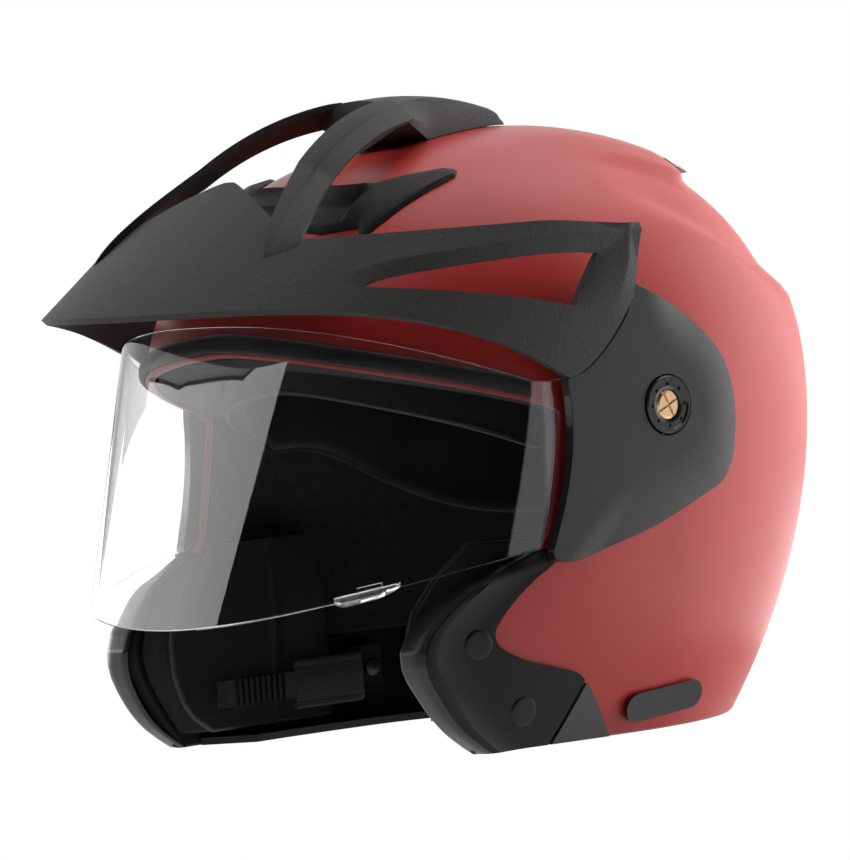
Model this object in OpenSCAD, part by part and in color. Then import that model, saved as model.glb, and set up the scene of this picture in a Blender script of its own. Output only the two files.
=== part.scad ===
// Open-face motorcycle helmet with a peak, a lift-up clear shield and a padded lining.
// Frame: +Z up from the table the helmet stands on, the wearer faces -Y, +X is the wearer's left.
// Every piece is drawn about the shield's pivot axis and then lifted to its place by place().

/* [Shell] */
// Half width of the shell at the pivots
shell_half_w = 117; // [112:0.5:120]
// Reach of the shell ahead of its middle
shell_front = 134; // [130:1:140]
// Reach of the shell behind its middle
shell_back = 144; // [136:1:152]
// Height of the crown above the pivots
crown_h = 113.5; // [108:0.5:118]
// Height of the pivots above the table
pivot_h = 130; // [124:1:136]
// Distance from the pivots back to the middle of the shell
shell_c = 8; // [4:1:12]
// Wall of the shell
shell_t = 4; // [3:0.25:5]
// Depth of the hollow above the rear shoulder line
dip_depth = 7; // [0:0.5:9]
// Rise of the raised band along the crown
band_rise = 2; // [0:0.25:4]
// Half width of the raised band
band_half_w = 57; // [50:1:62]
// Rear end of the raised band, behind the pivots
band_end = 104; // [98:1:108]

/* [Face opening] */
// Height of the brow edge above the pivots
brow_z = 31.5; // [28:0.5:34]
// Drop of the brow edge from its middle to the corners
brow_drop = 27.5; // [22:0.5:30]
// Turn of the opening's corner from straight ahead, in degrees
corner_turn = 62; // [58:0.5:66]
// Height of the rubber strip above the brow
seal_h = 7.2; // [4:0.1:9]
// Thickness of the rubber strip
seal_t = 2.6; // [1.5:0.1:4]

/* [Peak] */
// Distance of the peak's lower edge outside the shell's sides
peak_wide = 8.5; // [7:0.5:12]
// Reach of the peak's lower edge ahead of the wings
peak_reach = 155; // [145:1:165]
// Height of the peak's lower edge above the pivots
peak_z = 52; // [49:0.5:55]
// Height of the wings' top edge above the pivots
wing_z = 77; // [74:0.5:80]
// Wall of the peak
peak_t = 3; // [2:0.25:3.5]
// Width of an arch
arch_w = 12; // [10:0.5:15]
// Depth of an arch
arch_h = 8; // [6:0.5:10]
// Rise of the arches above the crown, along their middles
arch_rise = 12.3; // [10:0.1:15]
// Rear end of the crown spine, behind the pivots
spine_end = 28; // [22:1:34]

/* [Shield] */
// Thickness of the clear shield
shield_t = 2; // [1.5:0.1:2.4]
// Distance of the shield's upper edge ahead of the shell
shield_ahead = 5; // [3:0.5:7]
// Reach of the shield's lower edge beyond its upper edge
shield_flare = 41; // [35:0.5:45]
// Height of the shield's upper edge above the pivots, in the middle
shield_top_z = 44; // [40:0.5:47]
// Depth of the shield's lower edge below the pivots, in the middle
shield_low_z = 74; // [68:0.5:78]
// Radius of the ears round the pivots
ear_r = 16; // [14:0.5:18]
// Radius of the pivot bosses
boss_r = 7; // [5.5:0.25:8]
// Running clearance of the ears on the bosses
boss_gap = 0.08; // [0.03:0.01:0.1]

/* [Side covers] */
// Wall of the side covers
cover_t = 2.5; // [2:0.25:3]
// Depth of the covers' front rim
rim_t = 4.5; // [3:0.25:5]
// Radius of the covers' round rear end
cover_r = 42; // [39:0.5:44]
// Radius of the pivot rings
ring_r = 11.5; // [10:0.25:13]
// Radius of the brass screw heads
screw_r = 5.7; // [4.5:0.1:6]
// Thickness of the pivot plates on the shell
plate_t = 2; // [1.5:0.25:2.5]
// Radius of the pivot plates
plate_r = 15; // [14:0.5:15.5]

/* [Cheeks] */
// Thickness of the cheek guards
guard_t = 2.2; // [1.5:0.1:3]
// Thickness of the cheek guards at their nose
nose_t = 7.5; // [6:0.25:8]
// Width of the groove between guard and insert
groove_w = 2; // [1:0.25:3]
// Radius of the rivet caps
cap_r = 6.2; // [5:0.1:7]
// Height of the rivet caps
cap_h = 1.6; // [1:0.1:2.5]
// Length of the blank oval plates
badge_l = 42; // [34:1:48]
// Height of the blank oval plates
badge_h = 12; // [9:0.5:14]

/* [Lining] */
// Thickness of the foam liner at the crown
foam_t = 24; // [18:1:28]
// Thickness of the foam liner at the cheeks
foam_cheek_t = 12; // [8:1:14]
// Thickness of the comfort lining at the crown
pad_t = 8; // [5:0.5:10]
// Distance of the cheek pads' inner faces from the middle
cheek_pad_in = 68; // [64:0.5:74]
// Thickness of the roll at the nape
roll_t = 22; // [16:1:24]
// Height of the flat ring under the foam
trim_h = 3; // [2:0.5:4]
// Width of the flat ring under the foam
trim_w = 24; // [16:1:26]

/* [Vents] */
// Height of the front intake's hood above the shell
hood_h = 6.5; // [4:0.5:7]
// Half width of the front intake across its fins
vent_half_w = 60; // [56:0.5:63]
// Half width of the rear exhaust cap
exhaust_half_w = 44; // [36:1:48]

/* [Chin strap] */
// Width of the webbing
strap_w = 20; // [16:1:22]
// Thickness of the webbing
strap_t = 2; // [1.5:0.25:2.5]
// Length of the quick-release buckle
buckle_l = 34; // [28:1:40]
// Radius of the buckle's hinge pin
pin_r = 1.5; // [1:0.1:2]

/* [Hidden] */
$fn = 48;

// Gap between pieces that seat on each other
seat = 0.3;
// Gap of the foam inside the shell, which covers the flats of their faces
lining_gap = 0.75;
// Gap of the pads inside the foam
pad_gap = 1.5;
// Distance of the pivots behind the middle of the whole helmet
pivot_y = 16.5;

// Roundness of the shell seen from above, ahead of and behind its middle
plan_front = 2.5;
plan_back = 2.1;
// Roundness of the crown seen from the side
dome_p = 2.28;
// Shares by which the sides draw in, the cheeks reach forward and the nape draws in at the rim
side_tuck = 0.15;
cheek_flare = 0.6;
nape_tuck = 0.366;
// Distance the rim's middle lies ahead of the shell's
cheek_shift = 15;

function smooth(t) = let (u = min(1, max(0, t))) u * u * (3 - 2 * u);
function mix(a, b, t) = a + (b - a) * t;
function quarter(u, p) = pow(max(0, 1 - pow(min(1, max(0, u)), p)), 1 / p);
function unit(v) = v / norm(v);

// Sections of the shell at height z, t inside its outer face
function low(z) = max(0, -z) / pivot_h;
function middle_y(z) = shell_c - cheek_shift * pow(low(z), 2);
function dome(z, t) = quarter(max(0, z) / (crown_h - t), dome_p);
function half_w(z, t) = (shell_half_w - t) * dome(z, t) * (1 - side_tuck * pow(low(z), 2.6));
function reach_front(z, t) =
    (shell_front - t) * dome(z, t) * (1 + cheek_flare * pow(low(z), 1.3)) + middle_y(z) - shell_c;
function reach_back(z, t) =
    (shell_back - t) * dome(z, t) * (1 - nape_tuck * pow(low(z), 1.86)) - middle_y(z) + shell_c;
function section_r(phi, z, t) =
    let (ahead = cos(phi) > 0,
         p = ahead ? plan_front : plan_back,
         reach = ahead ? reach_front(z, t) : reach_back(z, t))
    pow(pow(abs(sin(phi)) / half_w(z, t), p) + pow(abs(cos(phi)) / reach, p), -1 / p);
// Half width of the shell at a place seen from the side
function shell_x(y, z, t) =
    let (d = y - middle_y(z))
    half_w(z, t)
        * (d < 0 ? quarter(-d / reach_front(z, t), plan_front) : quarter(d / reach_back(z, t), plan_back));
// Distance inside the raised crown band, negative outside it
function band_edge(x, y) = min(band_half_w - abs(x), band_end - 0.0085 * x * x - y);
function band(x, y) = band_rise * smooth(band_edge(x, y) / 12) * smooth((y + 20) / 60);
// Height of the rear shoulder line, by the turn behind the side
function shoulder_z(turn) = max(36, 74 - 0.0185 * turn * turn);
function dip(x, y, z) =
    let (turn = max(0, atan2(y - shell_c, abs(x))))
    dip_depth * smooth(-band_edge(x, y) / 12) * smooth((z - shoulder_z(turn)) / 16) * smooth((y + 5) / 60);
// Extra room of the linings under the rear shoulder line
relief_depth = 1.7;
function relief(y, z, t) = t > shell_t ? relief_depth * smooth((z - 26) / 10) * smooth((y - 12) / 14) : 0;
// Point of the shell at a turn from straight ahead and a height, t inside its outer face
function shell_pt(phi, z, t) =
    let (r = section_r(phi, z, t),
         x = r * sin(phi),
         y = middle_y(z) - r * cos(phi),
         inner = r - dip(x, y, z) - relief(y, z, t))
    [inner * sin(phi), middle_y(z) - inner * cos(phi), z + band(x, y)];
function side_pt(y, z, t) = [shell_x(y, z, t), y, z];
// Height of the dome over a place seen from above, without the rear hollow
function dome_z(x, y) =
    let (d = y - shell_c,
         p = d < 0 ? plan_front : plan_back,
         reach = d < 0 ? shell_front : shell_back,
         u = pow(pow(abs(x) / shell_half_w, p) + pow(abs(d) / reach, p), 1 / p))
    crown_h * quarter(u, dome_p) + band(x, y);

// Heights below the pivots are stated for a pivot height of 130 and follow it
low_scale = pivot_h / 130;
function lower(z) = z * low_scale;
function low_lookup(z, table) = lookup(z / low_scale, table);

// Edge of the face opening
function brow_edge(phi) = brow_z - brow_drop * pow(min(1, abs(phi) / corner_turn), 1.6);
// Front edge of the cheeks, as heights and turns from straight ahead
cheek_edge = [[-130, 49], [-122, 47], [-113.5, 44.8], [-105, 42.8], [-98, 41.2], [-93, 40.4], [-87, 40],
    [-80, 40.6], [-74, 42.3], [-68, 44.5], [-62.5, 47.7], [-58.5, 51.8], [-52, 58.6], [-46, 60.6], [0, 64]];
function side_edge(z) = corner_turn - 62 + low_lookup(z, cheek_edge);
// Wrap a turn past the back into the range either side of straight ahead
function signed(phi) = phi > 180 ? phi - 360 : phi;

// Closed solid between two grids of points; keep(j, i) says which cells are there
module sheet(outer, inner, wrap = false, cap = false, keep = function(j, i) true) {
    rows = len(outer);
    cols = len(outer[0]);
    cells = wrap ? cols : cols - 1;
    total = rows * cols;
    function at(j, i) = j * cols + i % cols;
    function inside(j, i) = j >= 0 && j < rows - 1 && (wrap || (i >= 0 && i < cells));
    function has(j, i) = inside(j, i) && keep(j, (i + cells) % cells);
    function quad(a, b, c, d) = [[a, b, c], [a, c, d]];
    function wall(a, b) = quad(a, b, b + total, a + total);
    function back(tris) = [for (f = tris) [for (v = f) v + total]];
    faces = [
        for (j = [0 : rows - 2], i = [0 : cells - 1])
            if (has(j, i))
                each concat(
                    quad(at(j, i), at(j, i + 1), at(j + 1, i + 1), at(j + 1, i)),
                    back(quad(at(j + 1, i), at(j + 1, i + 1), at(j, i + 1), at(j, i))),
                    has(j - 1, i) || (cap && j == 0) ? [] : wall(at(j, i + 1), at(j, i)),
                    has(j + 1, i) ? [] : wall(at(j + 1, i), at(j + 1, i + 1)),
                    has(j, i - 1) ? [] : wall(at(j, i), at(j + 1, i)),
                    has(j, i + 1) ? [] : wall(at(j + 1, i + 1), at(j, i + 1))
                )
    ];
    lids = cap ? [[for (i = [cols - 1 : -1 : 0]) i], [for (i = [0 : cols - 1]) i + total]] : [];
    points = concat([for (r = outer) each r], [for (r = inner) each r]);
    polyhedron(points, concat(faces, lids), convexity = 8);
}
// Points a distance off a grid along its normals
function grid_normal(g, j, i) =
    let (down = g[min(len(g) - 1, j + 1)][i] - g[max(0, j - 1)][i],
         along = g[j][min(len(g[0]) - 1, i + 1)] - g[j][max(0, i - 1)])
    unit(cross(down, along));
function offset_grid(g, t) =
    [for (j = [0 : len(g) - 1]) [for (i = [0 : len(g[0]) - 1]) g[j][i] + t * grid_normal(g, j, i)]];

module place() translate([0, pivot_y, pivot_h]) children();
module right_side() mirror([1, 0, 0]) children();

// Dome grid with rings from the crown to the brow line and open rows below it
function ring_turn(i, ahead, behind, edge) =
    i < ahead ? mix(-edge, edge, i / ahead) : mix(edge, 360 - edge, (i - ahead) / behind);
function dome_row(k, rows, phi, t) =
    let (z_mid = brow_edge(signed(phi)),
         rise = asin(pow(max(0, z_mid) / crown_h, dome_p / 2)),
         a = mix(87, rise, k / rows))
    z_mid < 0 && k == rows ? z_mid : (crown_h - t) * pow(sin(a), 2 / dome_p);
function dome_grid(t, ahead, behind, rows, low_rows, base, set_back) = concat(
    [for (k = [0 : rows])
        [for (i = [0 : ahead + behind - 1])
            let (phi = ring_turn(i, ahead, behind, corner_turn))
            shell_pt(phi, dome_row(k, rows, phi, t(0)), t(0))]],
    [for (k = [1 : low_rows])
        [for (i = [0 : ahead + behind - 1])
            let (turn = ring_turn(i, ahead, behind, corner_turn),
                 z = mix(brow_z - brow_drop, base(abs(signed(turn))), k / low_rows),
                 edge = side_edge(z) + set_back,
                 phi = i == 0 ? -edge : i < ahead ? 0 : mix(edge, 360 - edge, (i - ahead) / behind))
            shell_pt(phi, z, t(z))]]
);

// Columns ahead and behind the opening's corners, rows above and below the brow line
shell_ahead = 14;
shell_behind = 38;
shell_rows = 10;
shell_low_rows = 11;
module shell_sheet(outer, inner, base, set_back = 0) {
    grid = function(t) dome_grid(t, shell_ahead, shell_behind, shell_rows, shell_low_rows, base, set_back);
    sheet(grid(outer), grid(inner), wrap = true, cap = true,
          keep = function(j, i) j < shell_rows || i >= shell_ahead);
}
module outer_shell() {
    color("firebrick")
    place()
    shell_sheet(function(z) 0, function(z) shell_t, function(turn) -pivot_h);
}

// Lower edge of the foam beside the cheeks and above the nape roll
foam_cheek_low = lower(-124);
foam_nape_low = lower(-92);
// Turn by which the foam's front edge stays behind the shell's, in degrees
foam_set_back = 0.8;
function foam_base(turn) = mix(foam_cheek_low, foam_nape_low, smooth((turn - 80) / 14));
// Inner face of the foam, thinner beside the cheeks
function foam_in(z) = shell_t + lining_gap + mix(foam_t, foam_cheek_t, smooth(-z / 45));
module eps_liner() {
    color("dimgray")
    place()
    shell_sheet(function(z) shell_t + lining_gap, function(z) foam_in(z), function(turn) foam_base(turn),
                set_back = foam_set_back);
}

// Comfort lining: a quilted cap with a brow band that hangs below the shell's edge
pad_brow_drop = 9;
pad_nape_z = lower(-48);
// Channels between the quilted ribs, and the share of the padding they take away
pad_channels = 7;
pad_groove = 0.25;
function pad_edge(phi) =
    mix(brow_edge(signed(phi)) - pad_brow_drop, pad_nape_z, smooth((abs(signed(phi)) - 70) / 70));
function pad_z(v, phi, t) = mix((crown_h - t) * 0.995, pad_edge(phi), 1 - pow(1 - v, 2));
function pad_grid(rows, cols, swell) =
    [for (k = [0 : rows])
        [for (i = [0 : cols - 1])
            let (phi = 360 * i / cols,
                 rim = smooth((rows - k) / 1.5),
                 rib = k == 0 ? 1 : 1 - pad_groove * pow(abs(cos(pad_channels * phi / 2)), 6),
                 fill = swell * pad_t * mix(0.45, 1, rim) * rib,
                 z = pad_z(k / rows, phi, foam_in(0) + pad_gap + fill))
            shell_pt(phi, z, foam_in(z) + pad_gap + fill)]];
module crown_pad() {
    rows = 8;
    cols = 42;
    color("black")
    place()
    sheet(pad_grid(rows, cols, 0), pad_grid(rows, cols, 1), wrap = true, cap = true);
}

// Cheek pads: pillows on the foam, drawn in round their edges
cheek_pad_back = -14;
cheek_pad_top = lower(-48);
cheek_pad_low = lower(-123);
// Front of the pads, as heights and places
cheek_pad_line = [[-123, -80], [-117, -90], [-110, -96], [-98, -101], [-86, -102], [-74, -98], [-62, -89],
    [-48, -74]];
function pillow(u, v) = pow(sin(180 * mix(0.06, 0.94, u)), 0.45) * pow(sin(180 * mix(0.06, 0.94, v)), 0.45);
function cheek_pad_grid(rows, cols, swell) =
    [for (j = [0 : rows])
        [for (i = [0 : cols])
            let (v = j / rows,
                 u = i / cols,
                 z = mix(cheek_pad_top, cheek_pad_low, v),
                 y = mix(low_lookup(z, cheek_pad_line), cheek_pad_back, u),
                 x = shell_x(y, z, foam_in(z) + pad_gap),
                 face = mix(x, cheek_pad_in, pillow(u, v)))
            [mix(x, face, swell), y, z]]];
module cheek_pad() {
    rows = 12;
    cols = 12;
    color("black")
    place()
    sheet(cheek_pad_grid(rows, cols, 0), cheek_pad_grid(rows, cols, 1));
}
module cheek_pad_left() cheek_pad();
module cheek_pad_right() right_side() cheek_pad();

// Padded roll round the nape, from ear to ear
roll_turn = 114;
roll_top = lower(-93);
roll_gap = 1.1;
module neck_roll() {
    sides = 12;
    rings = 26;
    floor_z = -pivot_h + trim_h + seat;
    half_h = (roll_top - floor_z) / 2;
    points = [for (k = [0 : rings])
        let (phi = mix(roll_turn, 360 - roll_turn, k / rings),
             fill = pow(sin(180 * mix(0.03, 0.97, k / rings)), 0.3))
        [for (i = [0 : sides - 1])
            let (a = 360 * i / sides,
                 z = floor_z + half_h * (1 - fill * sin(a)),
                 t = shell_t + roll_gap + roll_t / 2 * (1 - fill * cos(a)))
            shell_pt(phi, z, t)]];
    ends = [[for (i = [0 : sides - 1]) i], [for (i = [sides - 1 : -1 : 0]) rings * sides + i]];
    walls = [for (k = [0 : rings - 1], i = [0 : sides - 1])
        let (a = k * sides + i,
             b = k * sides + (i + 1) % sides)
        each [[a, a + sides, b + sides], [a, b + sides, b]]];
    color("black")
    place()
    polyhedron([for (r = points) each r], concat(ends, walls), convexity = 6);
}

// Rubber strip above the brow, against which the shield closes
seal_lift = 1.8;
function seal_grid(cols, proud) =
    [for (v = [1, 0.5, 0])
        [for (i = [0 : cols])
            let (phi = mix(-corner_turn + 3, corner_turn - 3, i / cols),
                 round_off = v == 0.5 ? 1 : 0.6)
            shell_pt(phi, brow_edge(phi) + seal_lift + v * seal_h, -seat - proud * seal_t * round_off)]];
module brow_seal() {
    cols = 28;
    color("black")
    place()
    sheet(seal_grid(cols, 1), seal_grid(cols, 0));
}

// Flat ring that closes the underside between shell and pads
trim_turn = 53;
module base_trim() {
    steps = 48;
    function rim(t, k) = shell_pt(mix(trim_turn, 360 - trim_turn, k / steps), -pivot_h, t);
    function plan(p) = [p.x, p.y];
    outer = [for (k = [0 : steps]) plan(rim(shell_t + lining_gap, k))];
    inner = [for (k = [steps : -1 : 0]) plan(rim(shell_t + trim_w, k))];
    color("black")
    place()
    translate([0, 0, -pivot_h])
    linear_extrude(trim_h)
    polygon(concat(outer, inner));
}

// Peak: a ruled sheet from its lower edge up to the wings' top edge
peak_mid = -30;
peak_half_w = shell_half_w + peak_wide;
// Distance of the wings' top edge outside the shell's sides
wing_wide = 6;
wing_half_w = shell_half_w + wing_wide;
wing_reach = 142;
wing_mid = -6;
// The wing's triangular hole begins and ends at these turns
hole_from = 47.5;
hole_to = 81;
function peak_low(q) =
    [peak_half_w * sin(q), peak_mid - peak_reach * cos(q), peak_z - 40 * pow(abs(q) / 84, 4)];
function peak_high(q) =
    [wing_half_w * sin(q), wing_mid - wing_reach * cos(q), wing_z - 4 * smooth((abs(q) - 70) / 20)];
function peak_pt(q, w) = mix(peak_low(q), peak_high(q), w);
function hole_share(q) = min(1, max(0, (abs(q) - hole_from) / (hole_to - hole_from)));
function hole_low(q) = 0.31 + 0.13 * pow(hole_share(q), 2);
function hole_high(q) = 0.35 + 0.45 * pow(hole_share(q), 0.62);
function wing_crease(q) = min(0.96, 0.5 + 0.46 * pow(max(0, abs(q) - 45) / 40, 0.55));
// The sheet's top: a tongue between the arches, level along the wings
function peak_top(q) = abs(q) < 27 ? 1 + 0.95 * (1 - pow(abs(q) / 27, 1.6)) : 1;
function wing_end(w) = 82.5 + 8.5 * pow(min(1, w / 0.62), 0.75) - smooth((w - 0.7) / 0.3);
function wing_rows(q) =
    [0, hole_low(q) / 2, hole_low(q), hole_high(q), max(hole_high(q) + 0.06, wing_crease(q)), 1];
function front_rows(q) = [for (j = [0 : 5]) peak_top(q) * j / 5];
function peak_row(q, j) = mix(front_rows(q)[j], wing_rows(q)[j], smooth((abs(q) - 27) / 18));
// Turns of the sheet's columns: the front, the two holes and the wing ends
front_turns = [for (k = [0 : 8]) hole_from * k / 8];
hole_turns = [for (k = [1 : 8]) mix(hole_from, hole_to, k / 8)];
half_turns = concat(front_turns, hole_turns, [hole_to + 4, hole_to + 8]);
peak_turns = concat([for (k = [len(half_turns) - 1 : -1 : 1]) -half_turns[k]], half_turns);
function end_turn(q, w) =
    abs(q) <= hole_to ? q : sign(q) * mix(hole_to, wing_end(w), (abs(q) - hole_to) / 8);
// The wings' upper bar has a ridge, and so has the bar behind the hole
ridge_h = 2.2;
function on_end_bar(q, j) = j >= 3 && abs(q) > hole_to && abs(q) < hole_to + 8;
function ridge(q, j) = on_end_bar(q, j) ? ridge_h : j == 4 ? ridge_h * smooth((abs(q) - 40) / 14) : 0;
function peak_grid() =
    [for (j = [5 : -1 : 0])
        [for (q = peak_turns)
            let (w = peak_row(q, j),
                 p = peak_pt(end_turn(q, w), w),
                 away = unit([p.x, p.y - wing_mid, 0]))
            p + ridge(q, j) * away]];

// Arches: bands that lean outwards, from the front of the sheet back to the crown spine
arch_z = crown_h + arch_rise;
arch_root = -131;
arch_join = -22;
arch_mid = -28;
arch_run = 132;
arch_fall = 145.5;
function root_lift(y) = 5 * smooth((arch_root + 10 - y) / 10);
function arch_x(y) = 43.8 - 0.305 * (y + 124) + 0.0003 * pow(y + 124, 2);
function arch_top(y) =
    arch_z - arch_fall + arch_fall * sqrt(1 - pow((y - arch_mid) / arch_run, 2)) + root_lift(y);
function arch_pt(y) = [arch_x(y), y, arch_top(y)];
// Section of an arch across its run: inner edge, ridge, outer edge and underside
function arch_ring(y) =
    let (ahead = unit(arch_pt(y + 1) - arch_pt(y - 1)),
         side = unit(cross(ahead, [0, 0, 1])),
         up = cross(side, ahead),
         w = arch_w / 2,
         h = arch_h / 2)
    [for (c = [[-w, h], [-w * 0.25, h * 0.45], [w + 1.2, -h - 1.2], [w, -h - 2.6], [-w + 0.3, h - 2.7]])
        arch_pt(y) + c[0] * side + c[1] * up];
module block(points) hull() polyhedron(points, [[0, 1, 2], [for (i = [3 : len(points) - 1]) i]]);
module arch() {
    steps = 11;
    for (k = [0 : steps - 1])
        block(concat(arch_ring(mix(arch_root, arch_join, k / steps)),
                     arch_ring(mix(arch_root, arch_join, (k + 1) / steps))));
    // foot that spreads onto the sheet
    foot = [peak_pt(22, 0.93), peak_pt(31, 0.9), peak_pt(26, 0.77)];
    block(concat(foot, [for (p = foot) p - [0, 0, peak_t * 0.8]], arch_ring(arch_root)));
}
// Crown spine that the arches run into, seated on the shell behind a slanted front
spine_from = -27;
spine_brow = -38;
spine_foot = -23;
brow_t = 3;
spine_nose = 6;
function spine_fall(y) = 4 * pow(smooth((y - spine_end + spine_nose) / spine_nose), 2);
function spine_top(y) = arch_z + 4.2 - 0.003 * pow(y - spine_from, 2) - spine_fall(y);
function spine_half(y) = mix(19, 6.5, (y - spine_from) / (spine_end - spine_from));
module spine_slice(y) {
    w = spine_half(y);
    bed = dome_z(0, y) + seat;
    top = max(bed + 1.5, spine_top(y));
    foot = y < spine_foot ? top - brow_t : bed;
    flank = mix(foot, top, 0.66);
    translate([0, y, 0])
    rotate([90, 0, 0])
    linear_extrude(0.02)
    polygon([[-w, foot], [w, foot], [w * 0.92, flank], [w * 0.5, top - 0.7], [0, top],
        [-w * 0.5, top - 0.7], [-w * 0.92, flank]]);
}
module spine() {
    steps = 6;
    slices = concat([spine_brow], [for (k = [0 : steps]) mix(spine_foot, spine_end, k / steps)]);
    for (k = [0 : steps])
        hull() {
            spine_slice(slices[k]);
            spine_slice(slices[k + 1]);
        }
}
module peak() {
    grid = peak_grid();
    cols = len(peak_turns) - 1;
    open_from = len(front_turns) - 1;
    open_to = open_from + len(hole_turns);
    function column(i) = i < cols / 2 ? cols / 2 - 1 - i : i - cols / 2;
    function in_hole(i) = column(i) >= open_from && column(i) < open_to;
    color([0.09, 0.09, 0.09])
    place()
    union() {
        sheet(grid, offset_grid(grid, -peak_t), keep = function(j, i) j != 2 || !in_hole(i));
        arch();
        right_side() arch();
        spine();
    }
}

// Shield: a flared sheet about the pivot axis, with two ears
// Reach of the upper and lower edges from the pivot axis
shield_top_r = shell_front + shield_ahead;
shield_low_r = shield_top_r + shield_flare;
// Roundness seen from above, and the turn where the arms begin
shield_p = 2.45;
shield_turn = 69;
// Gap between the pivot plate and the shield's ear
ear_gap = 0.4;
ear_x = shell_half_w + seat + plate_t + ear_gap + shield_t / 2;
// Heights of the edges above and below the pivots where the arms begin
shield_end_top = 14;
shield_end_low = 51;
function shield_x(q) = ear_x * pow(sin(abs(q)), 2 / shield_p) * sign(q);
function shield_r(q, r) = r * pow(cos(q), 2 / shield_p);
function shield_top(q) = mix(shield_top_z, shield_end_top, pow(abs(q) / shield_turn, 1.9));
function shield_low(q) = -mix(shield_low_z, shield_end_low, pow(abs(q) / shield_turn, 1.5));
function swing_y(r, z) = -sqrt(max(0, r * r - z * z));
function shield_edge_top(q) =
    [shield_x(q), swing_y(shield_r(q, shield_top_r), shield_top(q)), shield_top(q)];
function shield_edge_low(q) =
    [shield_x(q), swing_y(shield_r(q, shield_low_r), shield_low(q)), shield_low(q)];
function shield_pt(q, w) = mix(shield_edge_low(q), shield_edge_top(q), w);
// Arm from the shield's end to the ear, along the side
arm_end = shield_edge_top(shield_turn);
arm_from = arm_end.y;
function arm_x(y) = mix(ear_x, arm_end.x, max(0, -y - ear_r) / (-arm_from - ear_r));
function arm_share(y) = max(0, y / arm_from);
function ear_half(y) = sqrt(max(0.01, ear_r * ear_r - y * y));
function arm_top(y) = y > 0 ? ear_half(y) : mix(ear_r, shield_end_top, arm_share(y));
function arm_low(y) = y > 0 ? -ear_half(y) : -mix(ear_r, shield_end_low, pow(arm_share(y), 1.7));
arm_ys = concat([for (k = [1 : 5]) arm_from * (1 - k / 5)], [for (a = [25, 50, 70, 82]) ear_r * sin(a)]);
function arm_pt(y, w, side) = [side * arm_x(y), y, mix(arm_low(y), arm_top(y), w)];
function shield_grid(rows, cols) =
    [for (j = [rows : -1 : 0])
        let (w = j / rows)
        concat(
            [for (k = [len(arm_ys) - 1 : -1 : 0]) arm_pt(arm_ys[k], w, -1)],
            [for (i = [0 : cols]) shield_pt(mix(-shield_turn, shield_turn, i / cols), w)],
            [for (y = arm_ys) arm_pt(y, w, 1)])];
module shield() {
    grid = shield_grid(7, 26);
    bore = boss_r + boss_gap;
    color([0.85, 0.9, 0.92, 0.4])
    place()
    difference() {
        sheet(offset_grid(grid, shield_t / 2), offset_grid(grid, -shield_t / 2));
        for (s = [-1, 1])
            translate([s * ear_x, 0, 0])
            rotate([0, 90, 0])
            cylinder(r = bore, h = 8 * shield_t, center = true);
    }
}
// Clear lift tab on the lower edge, at the wearer's left
tab_from = 35;
tab_to = 49.5;
tab_t = 2;
module shield_tab() {
    cols = 6;
    reach = [[0.09, 0], [0.03, 0], [-0.005, 2.5], [-0.02, 6]];
    grid = [for (r = reach)
        [for (i = [0 : cols])
            let (u = i / cols,
                 q = mix(tab_from, tab_to, u),
                 narrow = r[0] < 0 ? mix(q, (tab_from + tab_to) / 2, 0.25) : q,
                 p = shield_pt(narrow, r[0]),
                 away = unit([p.x, p.y, 0]))
            p + (r[1] + shield_t / 2 + seat) * away]];
    color([0.85, 0.9, 0.92, 0.5])
    place()
    sheet(offset_grid(grid, tab_t), grid);
}

// Side covers: shallow caps over the pivots, seated on the shell behind
cover_gap = 1.1;
cover_x = ear_x + shield_t / 2 + cover_gap + cover_t;
cover_bow = 1200;
cover_hole = ring_r + 2 * seat;
function cover_arc(b) = (cover_r + b[1]) * [cos(b[0]), sin(b[0])];
// Outline seen from the side: front rim, lower edge, round rear end, and the seam along the wing
cover_front = [[-49, 6], [-49, -6], [-51, -20], [-54.5, -34], [-58.5, -46], [-60.5, -53], [-57, -57]];
cover_low = [[-44, -57], [-30, -54], [-10, -49], [6, -43.8], [22, -37.6], [33, -33.3]];
// Rear end, as turns and distances outside its radius
cover_back = [[-35, 5.1], [-25, 3.5], [-14, 2], [-4, 1], [5, 0.5], [15, 0], [26, 0], [38, -0.7], [58, -2.1]];
cover_top = [[7, 42.4], [-1.7, 45.7]];
seam_gap = 0.5;
function seam_pt(w) = let (p = peak_pt(wing_end(w), w)) [p.y + seam_gap, p.z - seam_gap];
cover_outline = concat(
    cover_front,
    cover_low,
    [for (b = cover_back) cover_arc(b)],
    cover_top,
    [for (w = [0.66, 0.52, 0.4, 0.3, 0.2, 0.1, 0]) seam_pt(w)]
);
// 1 where the cover's edge comes down to the shell, 0 along the front rim and the seam
function cover_seated(e) =
    let (turn = atan2(e.y, -e.x))
    turn > 0 ? smooth((turn - 84) / 22) : smooth((-46 - turn) / 14);
function cover_cap(p) = cover_x - (p.x * p.x + p.y * p.y) / cover_bow;
function cover_grid(depth) =
    [for (s = [0, 0.45, 0.62, 0.78, 0.9, 1])
        [for (e = cover_outline)
            let (p = s == 0 ? cover_hole * unit(e) : e * s,
                 fall = cover_cap(e) - shell_x(e.x, e.y, 0) - cover_t - seat,
                 seated = cover_seated(e),
                 rim = (rim_t - cover_t) * smooth((s - 0.86) / 0.14) * (1 - seated),
                 x = cover_cap(p) - seated * fall * pow(max(0, (s - 0.45) / 0.55), 2))
            [x - depth * (cover_t + rim), p.x, p.y]]];
module side_cover() {
    color([0.1, 0.1, 0.1])
    place()
    sheet(cover_grid(0), cover_grid(1), wrap = true);
}
module side_cover_left() side_cover();
module side_cover_right() right_side() side_cover();

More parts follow.
